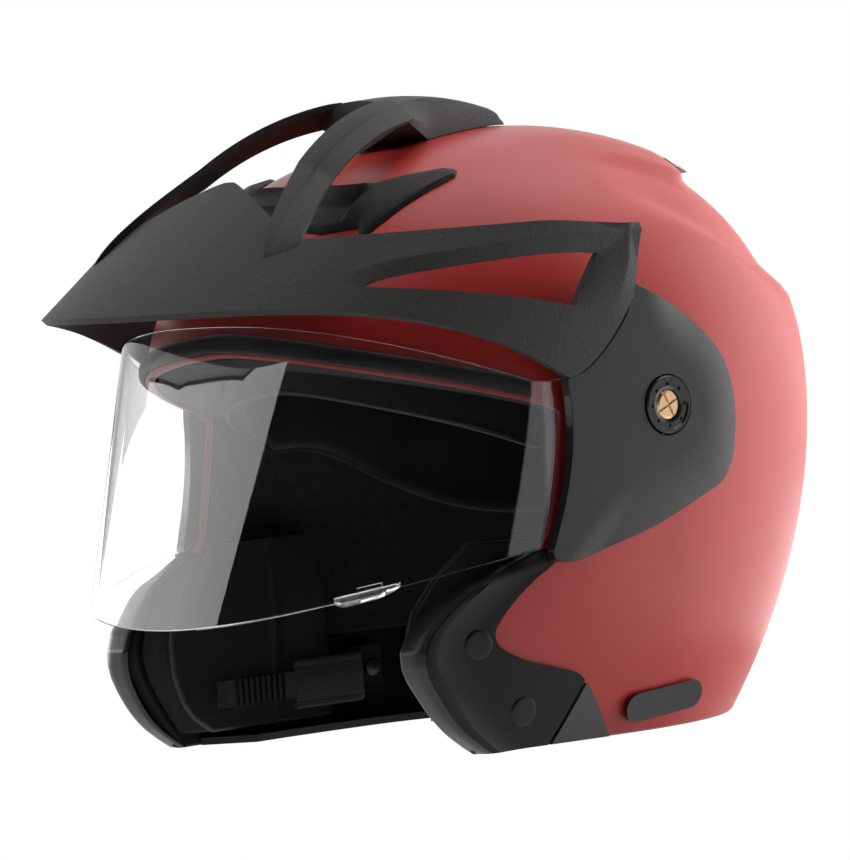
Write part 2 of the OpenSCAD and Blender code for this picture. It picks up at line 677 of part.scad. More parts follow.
// Pivot stack, outwards along X: plate and boss, shield ear, ring, screw
plate_x = shell_half_w + seat;
boss_end = cover_x - cover_t - 0.1;
screw_shank_r = 2.5;
screw_gap = 0.1;
head_t = 1.8;
ring_top = cover_x + 0.9;
head_top = cover_x + 0.2;
module along_x(x) place() translate([x, 0, 0]) rotate([0, 90, 0]) children();
plate_screw_at = 11;
plate_screw_r = 1.5;
plate_screw_head_r = 2.4;
plate_screw_sink = 1.1;
plate_screw_l = 4;
module base_plate() {
    color("dimgray")
    along_x(plate_x)
    difference() {
        union() {
            cylinder(r = plate_r, h = plate_t);
            cylinder(r = boss_r, h = boss_end - plate_x);
        }
        translate([0, 0, -1])
        cylinder(r = screw_shank_r + screw_gap, h = boss_end);
        for (s = [-1, 1])
            translate([0, s * plate_screw_at, 0])
            union() {
                translate([0, 0, -1])
                cylinder(r = plate_screw_r + screw_gap, h = plate_t + 2);
                translate([0, 0, plate_t - plate_screw_sink])
                cylinder(r = plate_screw_head_r + screw_gap, h = plate_screw_sink + 1);
            }
    }
}
module base_plate_left() base_plate();
module base_plate_right() right_side() base_plate();
// Sunk screws that cut their own thread in the shell
module plate_screws() {
    for (s = [-1, 1])
        along_x(plate_x + plate_t - plate_screw_sink + 0.05)
        translate([0, s * plate_screw_at, 0])
        union() {
            cylinder(r = plate_screw_head_r, h = plate_screw_sink - 0.15);
            translate([0, 0, -plate_screw_l])
            cylinder(r = plate_screw_r, h = plate_screw_l + 0.1);
        }
}
module base_plate_screws() {
    color("silver")
    union() {
        plate_screws();
        right_side() plate_screws();
    }
}
ring_floor = 1;
ring_dimples = 8;
module pivot_ring() {
    base = boss_end + seat;
    color([0.03, 0.03, 0.03])
    along_x(0)
    difference() {
        rotate_extrude()
        polygon([
            [screw_shank_r + screw_gap, base],
            [ring_r, base],
            [ring_r, ring_top - 0.5],
            [ring_r - 0.5, ring_top],
            [ring_r - 1.4, ring_top],
            [ring_r - 2, ring_top - 0.7],
            [screw_r + 1.6, ring_top - 0.7],
            [screw_r + 0.5, ring_top - 1],
            [screw_r + 0.5, base + ring_floor],
            [screw_shank_r + screw_gap, base + ring_floor]
        ]);
        for (k = [0 : ring_dimples - 1])
            rotate(360 * k / ring_dimples)
            translate([(ring_r - 2 + screw_r + 1.6) / 2, 0, ring_top - 1.3])
            cylinder(r = 0.75, h = 3);
    }
}
module pivot_ring_left() pivot_ring();
module pivot_ring_right() right_side() pivot_ring();
screw_slot = 1.1;
module pivot_screw() {
    seat_x = boss_end + seat + ring_floor + 0.05;
    color("goldenrod")
    along_x(0)
    difference() {
        union() {
            translate([0, 0, plate_x + 0.2])
            cylinder(r = screw_shank_r, h = seat_x - plate_x);
            rotate_extrude()
            polygon([
                [0, seat_x],
                [screw_r, seat_x],
                [screw_r, head_top - 0.6],
                [screw_r - 1, head_top],
                [0, head_top]
            ]);
        }
        for (a = [0, 90])
            rotate(a + 25)
            translate([-screw_r - 1, -screw_slot / 2, head_top - 0.8])
            cube([2 * screw_r + 2, screw_slot, 2]);
    }
}
module pivot_screw_left() pivot_screw();
module pivot_screw_right() right_side() pivot_screw();

// Cheek guards: mouldings that wrap the shell's front edge, fuller towards the front
// Rear line of the guard seen from the side, as heights and places
guard_line = [[-130, -54], [-106, -39], [-102, -44], [-99, -54], [-95, -68], [-88.5, -79], [-83.5, -82],
    [-79, -80], [-70, -72], [-62, -63], [-58, -55]];
guard_top = lower(-58.5);
// Distance of the guard's nose ahead of the shell's edge
guard_nose = 3.5;
guard_depth = 1;
guard_seat = 0.4;
guard_steps = [61, 64.5, 69, 74, 79, 83.5, 88, 92, 95.5, 99, 102, 105.5, 111, 117, 123];
guard_heights = concat([guard_top], [for (h = guard_steps) lower(-h)], [-pivot_h + 0.2]);
function guard_front(z) = shell_pt(side_edge(z), z, 0).y - guard_nose;
function guard_back(z) = low_lookup(z, guard_line) - (z < lower(-105) ? groove_w / 2 : 0);
function guard_proud(u) = guard_seat + mix(nose_t, guard_t, smooth(u / 0.4));
// Nose of the guard from inside the opening round to its side, as distance behind the nose and depth
nose_outer = [[1.4, guard_depth], [0.3, -1.5], [0, -4.5], [1.8, -nose_t]];
nose_inner = [[2.6, guard_depth], [2.6, 0.1], [2.6, -guard_seat], [3.4, -guard_seat]];
function guard_grid(cols, nose, body) =
    [for (z = guard_heights)
        let (front = guard_front(z),
             back = guard_back(z))
        concat(
            [for (n = nose) side_pt(min(front + n[0], back - 0.5 - 0.1 * n[1]), z, n[1])],
            [for (i = [1 : cols]) side_pt(mix(front + 4.5, back, i / cols), z, -body(i / cols))])];
module cheek_cover() {
    color([0.08, 0.08, 0.08])
    place()
    sheet(guard_grid(6, nose_outer, function(u) guard_proud(u)),
          guard_grid(6, nose_inner, function(u) guard_seat));
}
module cheek_cover_left() cheek_cover();
module cheek_cover_right() right_side() cheek_cover();
// Trapezoid insert behind the groove
insert_top = [-39, lower(-107)];
insert_low = [-23, -pivot_h + 0.2];
function insert_grid(proud) =
    [for (v = [0 : 0.25 : 1])
        let (z = mix(insert_top.y, insert_low.y, v),
             ahead = low_lookup(z, guard_line) + groove_w / 2,
             behind = mix(insert_top.x + 1.5, insert_low.x, v))
        [for (u = [0 : 0.25 : 1]) side_pt(mix(ahead, behind, u), z, -proud)]];
module cheek_insert() {
    color([0.13, 0.13, 0.13])
    place()
    sheet(insert_grid(guard_t + seat), insert_grid(seat));
}
module cheek_insert_left() cheek_insert();
module cheek_insert_right() right_side() cheek_insert();
// Lay children on the side of the shell, standing proud of it
module on_side(y, z, proud) {
    p = side_pt(y, z, -proud);
    n = unit([2, shell_x(y - 1, z, 0) - shell_x(y + 1, z, 0), shell_x(y, z - 1, 0) - shell_x(y, z + 1, 0)]);
    place()
    translate(p)
    rotate([0, acos(n.z), atan2(n.y, n.x)])
    children();
}
rivet_places = [[-90, lower(-86.5)], [-69, lower(-115)]];
function rivet_proud(r) =
    let (front = guard_front(r.y) + 4.5)
    guard_proud((r.x - front) / (guard_back(r.y) - front));
module cheek_rivets() {
    color([0.07, 0.07, 0.07])
    for (r = rivet_places)
        on_side(r.x, r.y, rivet_proud(r) + seat + 0.1)
        rotate_extrude()
        polygon([[0, 0], [cap_r, 0], [cap_r, cap_h * 0.55], [cap_r - 0.7, cap_h], [0, cap_h + 0.2]]);
}
module cheek_rivets_left() cheek_rivets();
module cheek_rivets_right() right_side() cheek_rivets();
// Blank oval plates low on the sides
badge_at = [4.5, lower(-118.3)];
badge_tilt = 5;
module badge() {
    color([0.04, 0.04, 0.04])
    on_side(badge_at.x, badge_at.y, seat + 0.35)
    rotate(badge_tilt - 90)
    linear_extrude(1.2)
    rotate(90)
    hull()
        for (s = [-1, 1])
            translate([0, s * (badge_l - badge_h) / 2])
            circle(d = badge_h, $fn = 32);
}
module badge_left() badge();
module badge_right() right_side() badge();

// Front intake: a lip, a mouth and a hood with two swept-back fins, on the brow of the dome
// Front and rear edges, as distances from the middle and places
vent_front = [[0, -97], [33, -95], [44, -90], [48, -88], [52.5, -91.5], [56, -80], [58.5, -66],
    [vent_half_w, -51]];
vent_back = [[0, -79], [28, -77], [39, -73], [45.5, -64.5], [51, -54], [55, -44], [57.5, -42.5],
    [vent_half_w, -46]];
lip_h = 2.2;
floor_h = 0.7;
fin_h = 4.5;
vent_bed = 0.5;
vent_rows = [0, 0.06, 0.18, 0.3, 0.42, 0.46, 0.56, 0.66, 0.7, 0.78, 0.85, 0.92, 1];
mouth_heights = concat([0.4, lip_h, lip_h, lip_h, lip_h, floor_h, floor_h, floor_h],
    hood_h * [0.9, 1, 0.85, 0.6, 0.08]);
fin_heights = fin_h * [0.1, 0.7, 0.9, 1, 1, 1, 1, 1, 1, 1, 0.95, 0.8, 0.1];
vent_xs = [0, 12, 24, 33, 39.5, 42, 45.5, 48.5, 52, 54.5, 56.5, 58.5, vent_half_w - 0.3];
function vent_height(x, j) =
    mix(mouth_heights[j], fin_heights[j] * mix(1, 0.45, smooth((x - 44) / 16)), smooth((x - 39.7) / 2));
function vent_grid(proud) =
    let (xs = concat([for (k = [len(vent_xs) - 1 : -1 : 1]) -vent_xs[k]], vent_xs))
    [for (j = [len(vent_rows) - 1 : -1 : 0])
        [for (x = xs)
            let (y = mix(lookup(abs(x), vent_front), lookup(abs(x), vent_back), vent_rows[j]))
            [x, y, dome_z(x, y) + vent_bed + proud * vent_height(abs(x), j)]]];
module front_vent() {
    color([0.1, 0.1, 0.1])
    place()
    sheet(vent_grid(1), vent_grid(0));
}
// Exhaust cap at the rear end of the raised band
exhaust_l = 11;
exhaust_heights = [0.4, 1.6, 2.4, 2.8, 2.2];
function exhaust_grid(proud) =
    [for (j = [4 : -1 : 0])
        [for (u = [-1 : 0.25 : 1])
            let (x = u * exhaust_half_w,
                 y = band_end - 0.0085 * x * x - exhaust_l * (1 - j / 4) + 5,
                 thin = sqrt(1.06 - pow(abs(u), 4)))
            [x, y, dome_z(x, y) + vent_bed + proud * exhaust_heights[j] * thin]]];
module rear_vent() {
    color([0.2, 0.2, 0.2])
    place()
    sheet(exhaust_grid(1), exhaust_grid(0));
}

// Chin strap, unbuckled: it leaves the shell's inner face and lies along the cheek pads
strap_z = lower(-118);
strap_from = 25;
strap_root = 14;
strap_bend = -14;
strap_to = -46;
strap_seat = 0.5;
function strap_share(y) = smooth((y - strap_bend) / (strap_root - strap_bend));
function strap_path(y) =
    let (along = cheek_pad_in - seat - strap_seat,
         root = shell_x(max(y, strap_root), strap_z, shell_t + strap_seat))
    mix(along, root, strap_share(y));
function strap_inner(y) =
    let (slope = (strap_path(y + 0.1) - strap_path(y - 0.1)) / 0.2)
    [strap_path(y), y] + strap_t * unit([-1, slope]);
strap_ys = concat([strap_to], [for (k = [0 : 10]) mix(strap_bend, strap_root, k / 10)], [strap_from]);
module strap() {
    inner = [for (y = strap_ys) strap_inner(y)];
    outer = [for (k = [len(strap_ys) - 1 : -1 : 0]) [strap_path(strap_ys[k]), strap_ys[k]]];
    color([0.05, 0.05, 0.05])
    place()
    translate([0, 0, strap_z])
    linear_extrude(strap_w)
    polygon(concat(inner, outer));
}
module strap_left() strap();
module strap_right() right_side() strap();
anchor_r = 4;
module anchor() {
    p = strap_inner(strap_from - anchor_r - 1);
    lean = strap_path(strap_from) - strap_path(strap_root);
    place()
    translate([p.x - seat, p.y, strap_z + strap_w / 2])
    rotate([0, -90, -atan2(lean, strap_from - strap_root)])
    rotate_extrude()
    polygon([[0, 0], [anchor_r, 0], [anchor_r - 0.8, 1], [0, 1.4]]);
}
module strap_rivets() {
    color("silver")
    union() {
        anchor();
        right_side() anchor();
    }
}
// Quick-release buckle at the end of the left strap
buckle_x = strap_path(strap_to);
buckle_y = strap_to - 0.2;
buckle_t = 7;
buckle_wall = 2;
lever_t = 2.4;
pin_gap = 0.06;
hub_r = pin_r + 1.4;
hub_gap = 0.4;
pin_at = [buckle_x - buckle_t - hub_r - hub_gap, buckle_y - 4];
module in_buckle() place() translate([0, 0, strap_z]) children();
module buckle_body() {
    color([0.12, 0.12, 0.12])
    in_buckle()
    difference() {
        union() {
            translate([buckle_x - buckle_t, buckle_y - buckle_l, 0])
            cube([buckle_t, buckle_l, strap_w]);
            for (z = [0, strap_w - buckle_wall])
                translate([pin_at.x, pin_at.y, z])
                union() {
                    cylinder(r = pin_r + 1.7, h = buckle_wall);
                    translate([0, -pin_r - 1.7, 0])
                    cube([buckle_x - buckle_t / 2 - pin_at.x, 2 * pin_r + 3.4, buckle_wall]);
                }
        }
        translate([buckle_x - buckle_t / 2 - 1.6, buckle_y - buckle_l - 1, 2 * buckle_wall])
        cube([3.2, buckle_l - 4, strap_w - 4 * buckle_wall]);
        translate([pin_at.x, pin_at.y, -1])
        cylinder(r = pin_r, h = strap_w + 2);
    }
}
module buckle_pin() {
    color("silver")
    in_buckle()
    translate([pin_at.x, pin_at.y, 0.1])
    cylinder(r = pin_r - 0.02, h = strap_w - 0.2);
}
module buckle_lever() {
    reach = buckle_l - 8;
    color("firebrick")
    in_buckle()
    translate([pin_at.x, pin_at.y, buckle_wall + seat])
    difference() {
        union() {
            cylinder(r = hub_r, h = strap_w - 2 * buckle_wall - 2 * seat);
            translate([hub_r + hub_gap - seat - lever_t, -reach, 0])
            cube([lever_t, reach, strap_w - 2 * buckle_wall - 2 * seat]);
        }
        translate([0, 0, -1])
        cylinder(r = pin_r + pin_gap, h = strap_w);
    }
}
// Toothed tongue at the end of the right strap
tongue_l = 40;
tongue_w = 11;
tongue_t = 2.4;
teeth = 9;
module strap_tongue() {
    x = strap_path(strap_to);
    color([0.12, 0.12, 0.12])
    right_side()
    in_buckle()
    translate([x - tongue_t, strap_to - 0.2, (strap_w - tongue_w) / 2])
    linear_extrude(tongue_w)
    polygon(concat(
        [[tongue_t, 0], [0, 0]],
        [for (k = [0 : teeth - 1]) each [[0, -6 - 3 * k], [0.9, -6.2 - 3 * k]]],
        [[0, -tongue_l + 4], [0.8, -tongue_l], [tongue_t, -tongue_l]]
    ));
}

outer_shell();
eps_liner();
crown_pad();
cheek_pad_left();
cheek_pad_right();
neck_roll();
brow_seal();
base_trim();
peak();
side_cover_left();
side_cover_right();
pivot_ring_left();
pivot_ring_right();
pivot_screw_left();
pivot_screw_right();
base_plate_left();
base_plate_right();
base_plate_screws();
shield();
shield_tab();
cheek_cover_left();
cheek_cover_right();
cheek_insert_left();
cheek_insert_right();
cheek_rivets_left();
cheek_rivets_right();
front_vent();
rear_vent();
badge_left();
badge_right();
strap_left();
strap_right();
strap_rivets();
strap_tongue();
buckle_body();
buckle_lever();
buckle_pin();
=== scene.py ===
"""Looks of an open-face motorcycle helmet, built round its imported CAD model.

Lengths in the shape functions are in millimetres from the middle of the shield's pivot axis,
with +Z up, the wearer facing -Y and +X at the wearer's left. to_part() turns them into metres.
"""
import math

import bpy
import numpy as np
from mathutils import Matrix


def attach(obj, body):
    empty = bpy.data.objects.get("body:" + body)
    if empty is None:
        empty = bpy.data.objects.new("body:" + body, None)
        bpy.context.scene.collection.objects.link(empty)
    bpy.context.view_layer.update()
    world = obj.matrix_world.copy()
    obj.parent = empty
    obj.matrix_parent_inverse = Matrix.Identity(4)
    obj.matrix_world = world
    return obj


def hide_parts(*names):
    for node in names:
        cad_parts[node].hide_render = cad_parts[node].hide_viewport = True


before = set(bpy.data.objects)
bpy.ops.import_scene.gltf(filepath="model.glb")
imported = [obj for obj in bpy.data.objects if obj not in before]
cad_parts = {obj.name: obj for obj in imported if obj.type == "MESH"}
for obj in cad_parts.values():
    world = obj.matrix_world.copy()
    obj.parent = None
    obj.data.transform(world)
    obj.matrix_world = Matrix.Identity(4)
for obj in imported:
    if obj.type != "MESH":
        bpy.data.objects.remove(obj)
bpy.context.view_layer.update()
scene = bpy.context.scene

PIVOT = np.array([0.0, 16.5, 130.0])

# Shell
SHELL_HALF_W, SHELL_FRONT, SHELL_BACK = 117.0, 134.0, 144.0
CROWN_H, PIVOT_H, SHELL_C, SHELL_T = 113.5, 130.0, 8.0, 4.0
BAND_RISE, BAND_HALF_W, BAND_END, BAND_CURVE, BAND_FADE = 2.0, 57.0, 104.0, 0.0085, 12.0
DIP_DEPTH, SHOULDER_LOW, SHOULDER_HIGH, SHOULDER_FALL, LINING_RELIEF = 7.0, 36.0, 74.0, 0.0185, 1.7
BAND_FROM, DIP_FROM, RUN_IN, SHOULDER_RUN = -20.0, -5.0, 60.0, 16.0
PLAN_FRONT, PLAN_BACK, DOME_P = 2.5, 2.1, 2.28
SIDE_TUCK, CHEEK_FLARE, NAPE_TUCK, CHEEK_SHIFT = 0.15, 0.6, 0.366, 15.0
BROW_Z, BROW_DROP, CORNER_TURN = 31.5, 27.5, 62.0
CHEEK_EDGE = np.array([
    [-130, 49], [-122, 47], [-113.5, 44.8], [-105, 42.8], [-98, 41.2], [-93, 40.4], [-87, 40], [-80, 40.6],
    [-74, 42.3], [-68, 44.5], [-62.5, 47.7], [-58.5, 51.8], [-52, 58.6], [-46, 60.6], [0, 64]])
SEAT, LINING_GAP, PAD_GAP = 0.3, 0.75, 1.5

# Linings
FOAM_T, FOAM_CHEEK_T, PAD_T, ROLL_T = 24.0, 12.0, 8.0, 22.0
CHEEK_PAD_IN = 68.0
CHEEK_PAD_LINE = np.array([
    [-123, -80], [-117, -90], [-110, -96], [-98, -101], [-86, -102], [-74, -98], [-62, -89], [-48, -74]])


def smooth(t):
    u = np.clip(t, 0, 1)
    return u * u * (3 - 2 * u)


def mix(a, b, t):
    return a + (b - a) * t


def quarter(u, p):
    return np.maximum(0, 1 - np.clip(u, 0, 1) ** p) ** (1 / p)


def sin(deg):
    return np.sin(np.radians(deg))


def cos(deg):
    return np.cos(np.radians(deg))


def around(count):
    return np.linspace(0, 360, count, endpoint=False)


def table(z, rows):
    return np.interp(z, rows[:, 0], rows[:, 1])


def unit(v):
    return v / np.linalg.norm(v, axis=-1, keepdims=True)


def points(x, y, z):
    return np.stack(np.broadcast_arrays(x, y, z), axis=-1).astype(float)


# Form of the shell

def low(z):
    return np.maximum(0, -z) / PIVOT_H


def middle_y(z):
    return SHELL_C - CHEEK_SHIFT * low(z) ** 2


def dome(z, t):
    return quarter(np.maximum(0, z) / (CROWN_H - t), DOME_P)


def half_w(z, t):
    return (SHELL_HALF_W - t) * dome(z, t) * (1 - SIDE_TUCK * low(z) ** 2.6)


def reach_front(z, t):
    return (SHELL_FRONT - t) * dome(z, t) * (1 + CHEEK_FLARE * low(z) ** 1.3) + middle_y(z) - SHELL_C


def reach_back(z, t):
    return (SHELL_BACK - t) * dome(z, t) * (1 - NAPE_TUCK * low(z) ** 1.86) - middle_y(z) + SHELL_C


def section_r(phi, z, t):
    ahead = cos(phi) > 0
    p = np.where(ahead, PLAN_FRONT, PLAN_BACK)
    reach = np.where(ahead, reach_front(z, t), reach_back(z, t))
    wide = np.maximum(half_w(z, t), 1e-6)
    reach = np.maximum(reach, 1e-6)
    return ((np.abs(sin(phi)) / wide) ** p + (np.abs(cos(phi)) / reach) ** p) ** (-1 / p)


def shell_x(y, z, t):
    d = y - middle_y(z)
    front = quarter(np.maximum(0, -d) / reach_front(z, t), PLAN_FRONT)
    back = quarter(np.maximum(0, d) / reach_back(z, t), PLAN_BACK)
    return half_w(z, t) * np.where(d < 0, front, back)


def band_edge(x, y):
    """Distance inside the edge of the raised band along the crown."""
    return np.minimum(BAND_HALF_W - np.abs(x), BAND_END - BAND_CURVE * x * x - y)


def band(x, y):
    return BAND_RISE * smooth(band_edge(x, y) / BAND_FADE) * smooth((y - BAND_FROM) / RUN_IN)


def dip(x, y, z):
    """Depth of the hollow beside and behind the band, above a shoulder line."""
    turn = np.maximum(0, np.degrees(np.arctan2(y - SHELL_C, np.abs(x))))
    shoulder = np.maximum(SHOULDER_LOW, SHOULDER_HIGH - SHOULDER_FALL * turn * turn)
    deep = DIP_DEPTH * smooth(-band_edge(x, y) / BAND_FADE)
    return deep * smooth((z - shoulder) / SHOULDER_RUN) * smooth((y - DIP_FROM) / RUN_IN)


def shell_pt(phi, z, t):
    """Point at a turn from straight ahead and a height, t deep; linings keep clear of the dip."""
    r = section_r(phi, z, t)
    x = r * sin(phi)
    y = middle_y(z) - r * cos(phi)
    relief = np.where(t > SHELL_T, LINING_RELIEF * smooth((z - 26) / 10) * smooth((y - 12) / 14), 0)
    inner = r - dip(x, y, z) - relief
    return points(inner * sin(phi), middle_y(z) - inner * cos(phi), z + band(x, y))


def side_pt(y, z, t):
    return points(shell_x(y, z, t), y, z)


def dome_z(x, y):
    d = y - SHELL_C
    p = np.where(d < 0, PLAN_FRONT, PLAN_BACK)
    reach = np.where(d < 0, SHELL_FRONT, SHELL_BACK)
    u = ((np.abs(x) / SHELL_HALF_W) ** p + (np.abs(d) / reach) ** p) ** (1 / p)
    return CROWN_H * quarter(u, DOME_P) + band(x, y)


def brow_edge(phi):
    return BROW_Z - BROW_DROP * np.minimum(1, np.abs(phi) / CORNER_TURN) ** 1.6


def signed(phi):
    return np.where(phi > 180, phi - 360, phi)


# Mesh helpers

def to_part(p):
    return (np.asarray(p, float) + PIVOT) * 0.001


def grid_normals(g):
    return unit(np.cross(np.gradient(g, axis=0), np.gradient(g, axis=1)))


def solid(outer, inner, wrap=False, pole=None, keep=None):
    """Vertices and faces of the closed solid between two grids; pole closes both at their first row."""
    rows, cols = outer.shape[:2]
    cells = cols if wrap else cols - 1
    total = rows * cols
    here = np.zeros((rows + 1, cells + 2), bool)
    here[0] = pole is not None
    here[1:-1, 1:-1] = True if keep is None else keep
    if wrap:
        here[:, 0] = here[:, -2]
        here[:, -1] = here[:, 1]

    def at(j, i):
        return j * cols + i % cols

    faces = []
    for j in range(rows - 1):
        for i in range(cells):
            if not here[j + 1, i + 1]:
                continue
            a, b, c, d = at(j, i), at(j, i + 1), at(j + 1, i + 1), at(j + 1, i)
            faces.append((d, c, b, a))
            faces.append((a + total, b + total, c + total, d + total))
            above, below = here[j, i + 1], here[j + 2, i + 1]
            before, after = here[j + 1, i], here[j + 1, i + 2]
            for filled, p, q in ((above, a, b), (below, c, d), (before, d, a), (after, b, c)):
                if not filled:
                    faces.append((p, q, q + total, p + total))
    verts = [outer.reshape(-1, 3), inner.reshape(-1, 3)]
    if pole is not None:
        verts.append(np.asarray(pole, float))
        for i in range(cells):
            faces.append((at(0, i), at(0, i + 1), 2 * total))
            faces.append((at(0, i + 1) + total, at(0, i) + total, 2 * total + 1))
    return np.concatenate(verts), faces


def loft(rings, closed=False):
    """Vertices and faces through rings with equal counts, capped at both ends or closed on itself."""
    rings = np.asarray(rings, float)
    count, sides = rings.shape[:2]
    faces = []
    if not closed:
        faces = [tuple(range(sides)), tuple(range((count - 1) * sides, count * sides))[::-1]]
    for k in range(count if closed else count - 1):
        here, there = k * sides, (k + 1) % count * sides
        for i in range(sides):
            beside = (i + 1) % sides
            faces.append((here + i, there + i, there + beside, here + beside))
    return rings.reshape(-1, 3), faces


def tube(path, radius, sides=10):
    """A round cord along a closed path of points."""
    ahead = unit(np.roll(path, -1, 0) - np.roll(path, 1, 0))
    side = np.empty_like(path)
    last = np.cross(ahead[0], [0.3, 0.2, 1.0])
    for k, a in enumerate(ahead):
        side[k] = last = unit(last - a * (last @ a))
    up = np.cross(ahead, side)
    turn = around(sides)[:, None]
    return loft(path[:, None] + radius * (cos(turn) * side[:, None] + sin(turn) * up[:, None]), closed=True)


def joined(parts):
    verts, faces, start = [], [], 0
    for v, f in parts:
        verts.append(v)
        faces += [tuple(k + start for k in face) for face in f]
        start += len(v)
    return np.concatenate(verts), faces


def mirrored(part):
    v, f = part
    return v * [-1, 1, 1], [tuple(reversed(face)) for face in f]


SIDES = ("left", "right")


def on_side(part, side):
    """A part as modelled at the wearer's left, or mirrored to the right."""
    return mirrored(part) if side == "right" else part


def spline(pts, steps, corners=()):
    """Open Catmull-Rom curve through points; the curve doesn't round the corners named by index."""
    pts = np.asarray(pts, float)
    out = []
    last = len(pts) - 1
    for k in range(last):
        p1, p2 = pts[k], pts[k + 1]
        p0 = 2 * p1 - p2 if k == 0 or k in corners else pts[k - 1]
        p3 = 2 * p2 - p1 if k + 1 == last or k + 1 in corners else pts[k + 2]
        for s in range(steps):
            t = s / steps
            out.append(0.5 * (2 * p1 + (p2 - p0) * t + (2 * p0 - 5 * p1 + 4 * p2 - p3) * t * t
                              + (3 * p1 - p0 - 3 * p2 + p3) * t ** 3))
    out.append(pts[-1])
    return np.array(out)


def fine(values, steps):
    """Values with evenly spaced ones set between each pair."""
    values = np.asarray(values, float)
    at = np.arange(0, len(values) - 1 + 1e-9, 1 / steps)
    return np.interp(at, np.arange(len(values)), values)


def added(name, data):
    """A new object in the scene."""
    obj = bpy.data.objects.new(name, data)
    scene.collection.objects.link(obj)
    return obj


def piece(name, part, material, node=None, body="helmet", bevel=0.0, sharp=40, segments=3):
    """A Blender object for a piece, smooth-shaded, with its edges rounded by bevel millimetres."""
    verts, faces = part
    used = np.unique(np.fromiter((k for f in faces for k in f), int))
    index = np.full(len(verts), -1)
    index[used] = np.arange(len(used))
    mesh = bpy.data.meshes.new(name)
    mesh.from_pydata(to_part(verts[used]).tolist(), [], [tuple(int(index[k]) for k in f) for f in faces])
    mesh.validate()
    for m in material if isinstance(material, list) else [material]:
        mesh.materials.append(m)
    obj = added(name, mesh)
    mesh.shade_smooth()
    mesh.set_sharp_from_angle(angle=math.radians(sharp))
    if bevel:
        mod = obj.modifiers.new("edges", "BEVEL")
        mod.width = bevel * 0.001
        mod.segments = segments
        mod.limit_method = "ANGLE"
        mod.angle_limit = math.radians(sharp)
    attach(obj, body)
    if node:
        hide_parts(node)
    return obj


# Materials

YARN_SCALE, BEAD_SCALE = 900, 260


def wired(tree, kind, *sources, **settings):
    """First output of a new node whose first inputs are linked to sources."""
    n = tree.nodes.new(kind)
    for key, value in settings.items():
        setattr(n, key, value)
    for k, source in enumerate(sources):
        tree.links.new(source, n.inputs[k])
    return n.outputs[0]


class Nodes:
    """Short names for building one material's nodes."""

    def __init__(self, name):
        self.material = bpy.data.materials.new(name)
        self.material.use_nodes = True
        self.tree = self.material.node_tree
        self.bsdf = self.tree.nodes["Principled BSDF"]
        self.place = self.new("ShaderNodeTexCoord").outputs["Object"]

    def put(self, node, **inputs):
        """Set a node's properties and input values, or link an input to another node's output."""
        for key, value in inputs.items():
            if hasattr(node, key):
                setattr(node, key, value)
                continue
            socket = node.inputs[key.replace("_", " ")]
            if isinstance(value, bpy.types.NodeSocket):
                self.tree.links.new(value, socket)
            else:
                socket.default_value = value
        return node

    def new(self, kind, **inputs):
        return self.put(self.tree.nodes.new(kind), **inputs)

    def set(self, **inputs):
        self.put(self.bsdf, **inputs)

    def noise(self, scale, detail=4.0, rough=0.6, stretch=None):
        place = self.place
        if stretch:
            place = self.new("ShaderNodeMapping", Vector=place, Scale=stretch).outputs["Vector"]
        n = self.new("ShaderNodeTexNoise", Vector=place, Scale=scale, Detail=detail, Roughness=rough)
        return n.outputs["Fac"]

    def cells(self, scale):
        return self.new("ShaderNodeTexVoronoi", Vector=self.place, Scale=scale).outputs["Distance"]

    def wave(self, scale, direction, distortion=0.0):
        n = self.new("ShaderNodeTexWave", Vector=self.place, Scale=scale, Distortion=distortion,
                     bands_direction=direction)
        return n.outputs["Fac"]

    def math(self, operation, a, b):
        return wired(self.tree, "ShaderNodeMath", a, b, operation=operation)

    def colours(self, fac, dark, light, low=0.3, high=0.7):
        n = self.new("ShaderNodeValToRGB", Fac=fac)
        for stop, place, colour in zip(n.color_ramp.elements, (low, high), (dark, light)):
            stop.position = place
            stop.color = (*colour, 1)
        self.set(Base_Color=n.outputs["Color"])

    def roughness(self, fac, low, high):
        n = self.new("ShaderNodeMapRange", Value=fac, To_Min=low, To_Max=high)
        self.set(Roughness=n.outputs["Result"])

    def bump(self, height, strength, distance, after=None):
        n = self.new("ShaderNodeBump", Height=height, Strength=strength, Distance=distance)
        if after:
            self.put(n, Normal=after)
        self.set(Normal=n.outputs["Normal"])
        return n.outputs["Normal"]


def grey(v):
    return (v, v, v)


def red_paint():
    n = Nodes("satin_red_paint")
    n.colours(n.noise(26, 3), (0.335, 0.0175, 0.0140), (0.365, 0.0205, 0.0165))
    n.roughness(n.noise(60, 5), 0.36, 0.41)
    n.set(Specular_IOR_Level=0.5)
    n.bump(n.noise(700, 2), 0.05, 0.0002)
    return n.material


def grained_black(name, dark, light, rough, scale, depth, shine=0.4):
    """Moulded black plastic with a fine leather-like grain."""
    n = Nodes(name)
    n.colours(n.noise(scale * 0.7, 5, 0.7), dark, light)
    n.roughness(n.noise(scale * 0.4), rough - 0.06, rough + 0.08)
    first = n.bump(n.cells(scale), depth, 0.0004)
    n.bump(n.noise(scale * 1.7, 4, 0.7), depth * 0.8, 0.0003, first)
    n.set(Specular_IOR_Level=shine)
    return n.material


def gloss_black(name, colour, rough):
    n = Nodes(name)
    n.colours(n.noise(80, 3), colour, tuple(c * 1.3 for c in colour))
    n.roughness(n.noise(240), rough * 0.8, rough * 1.2)
    n.bump(n.noise(90, 2), 0.03, 0.0002)
    n.set(Specular_IOR_Level=0.55)
    return n.material


def rubber():
    n = Nodes("soft_rubber")
    n.colours(n.noise(300), grey(0.008), grey(0.014))
    n.roughness(n.noise(120, 3), 0.5, 0.62)
    n.bump(n.noise(1500, 3), 0.15, 0.0002)
    return n.material


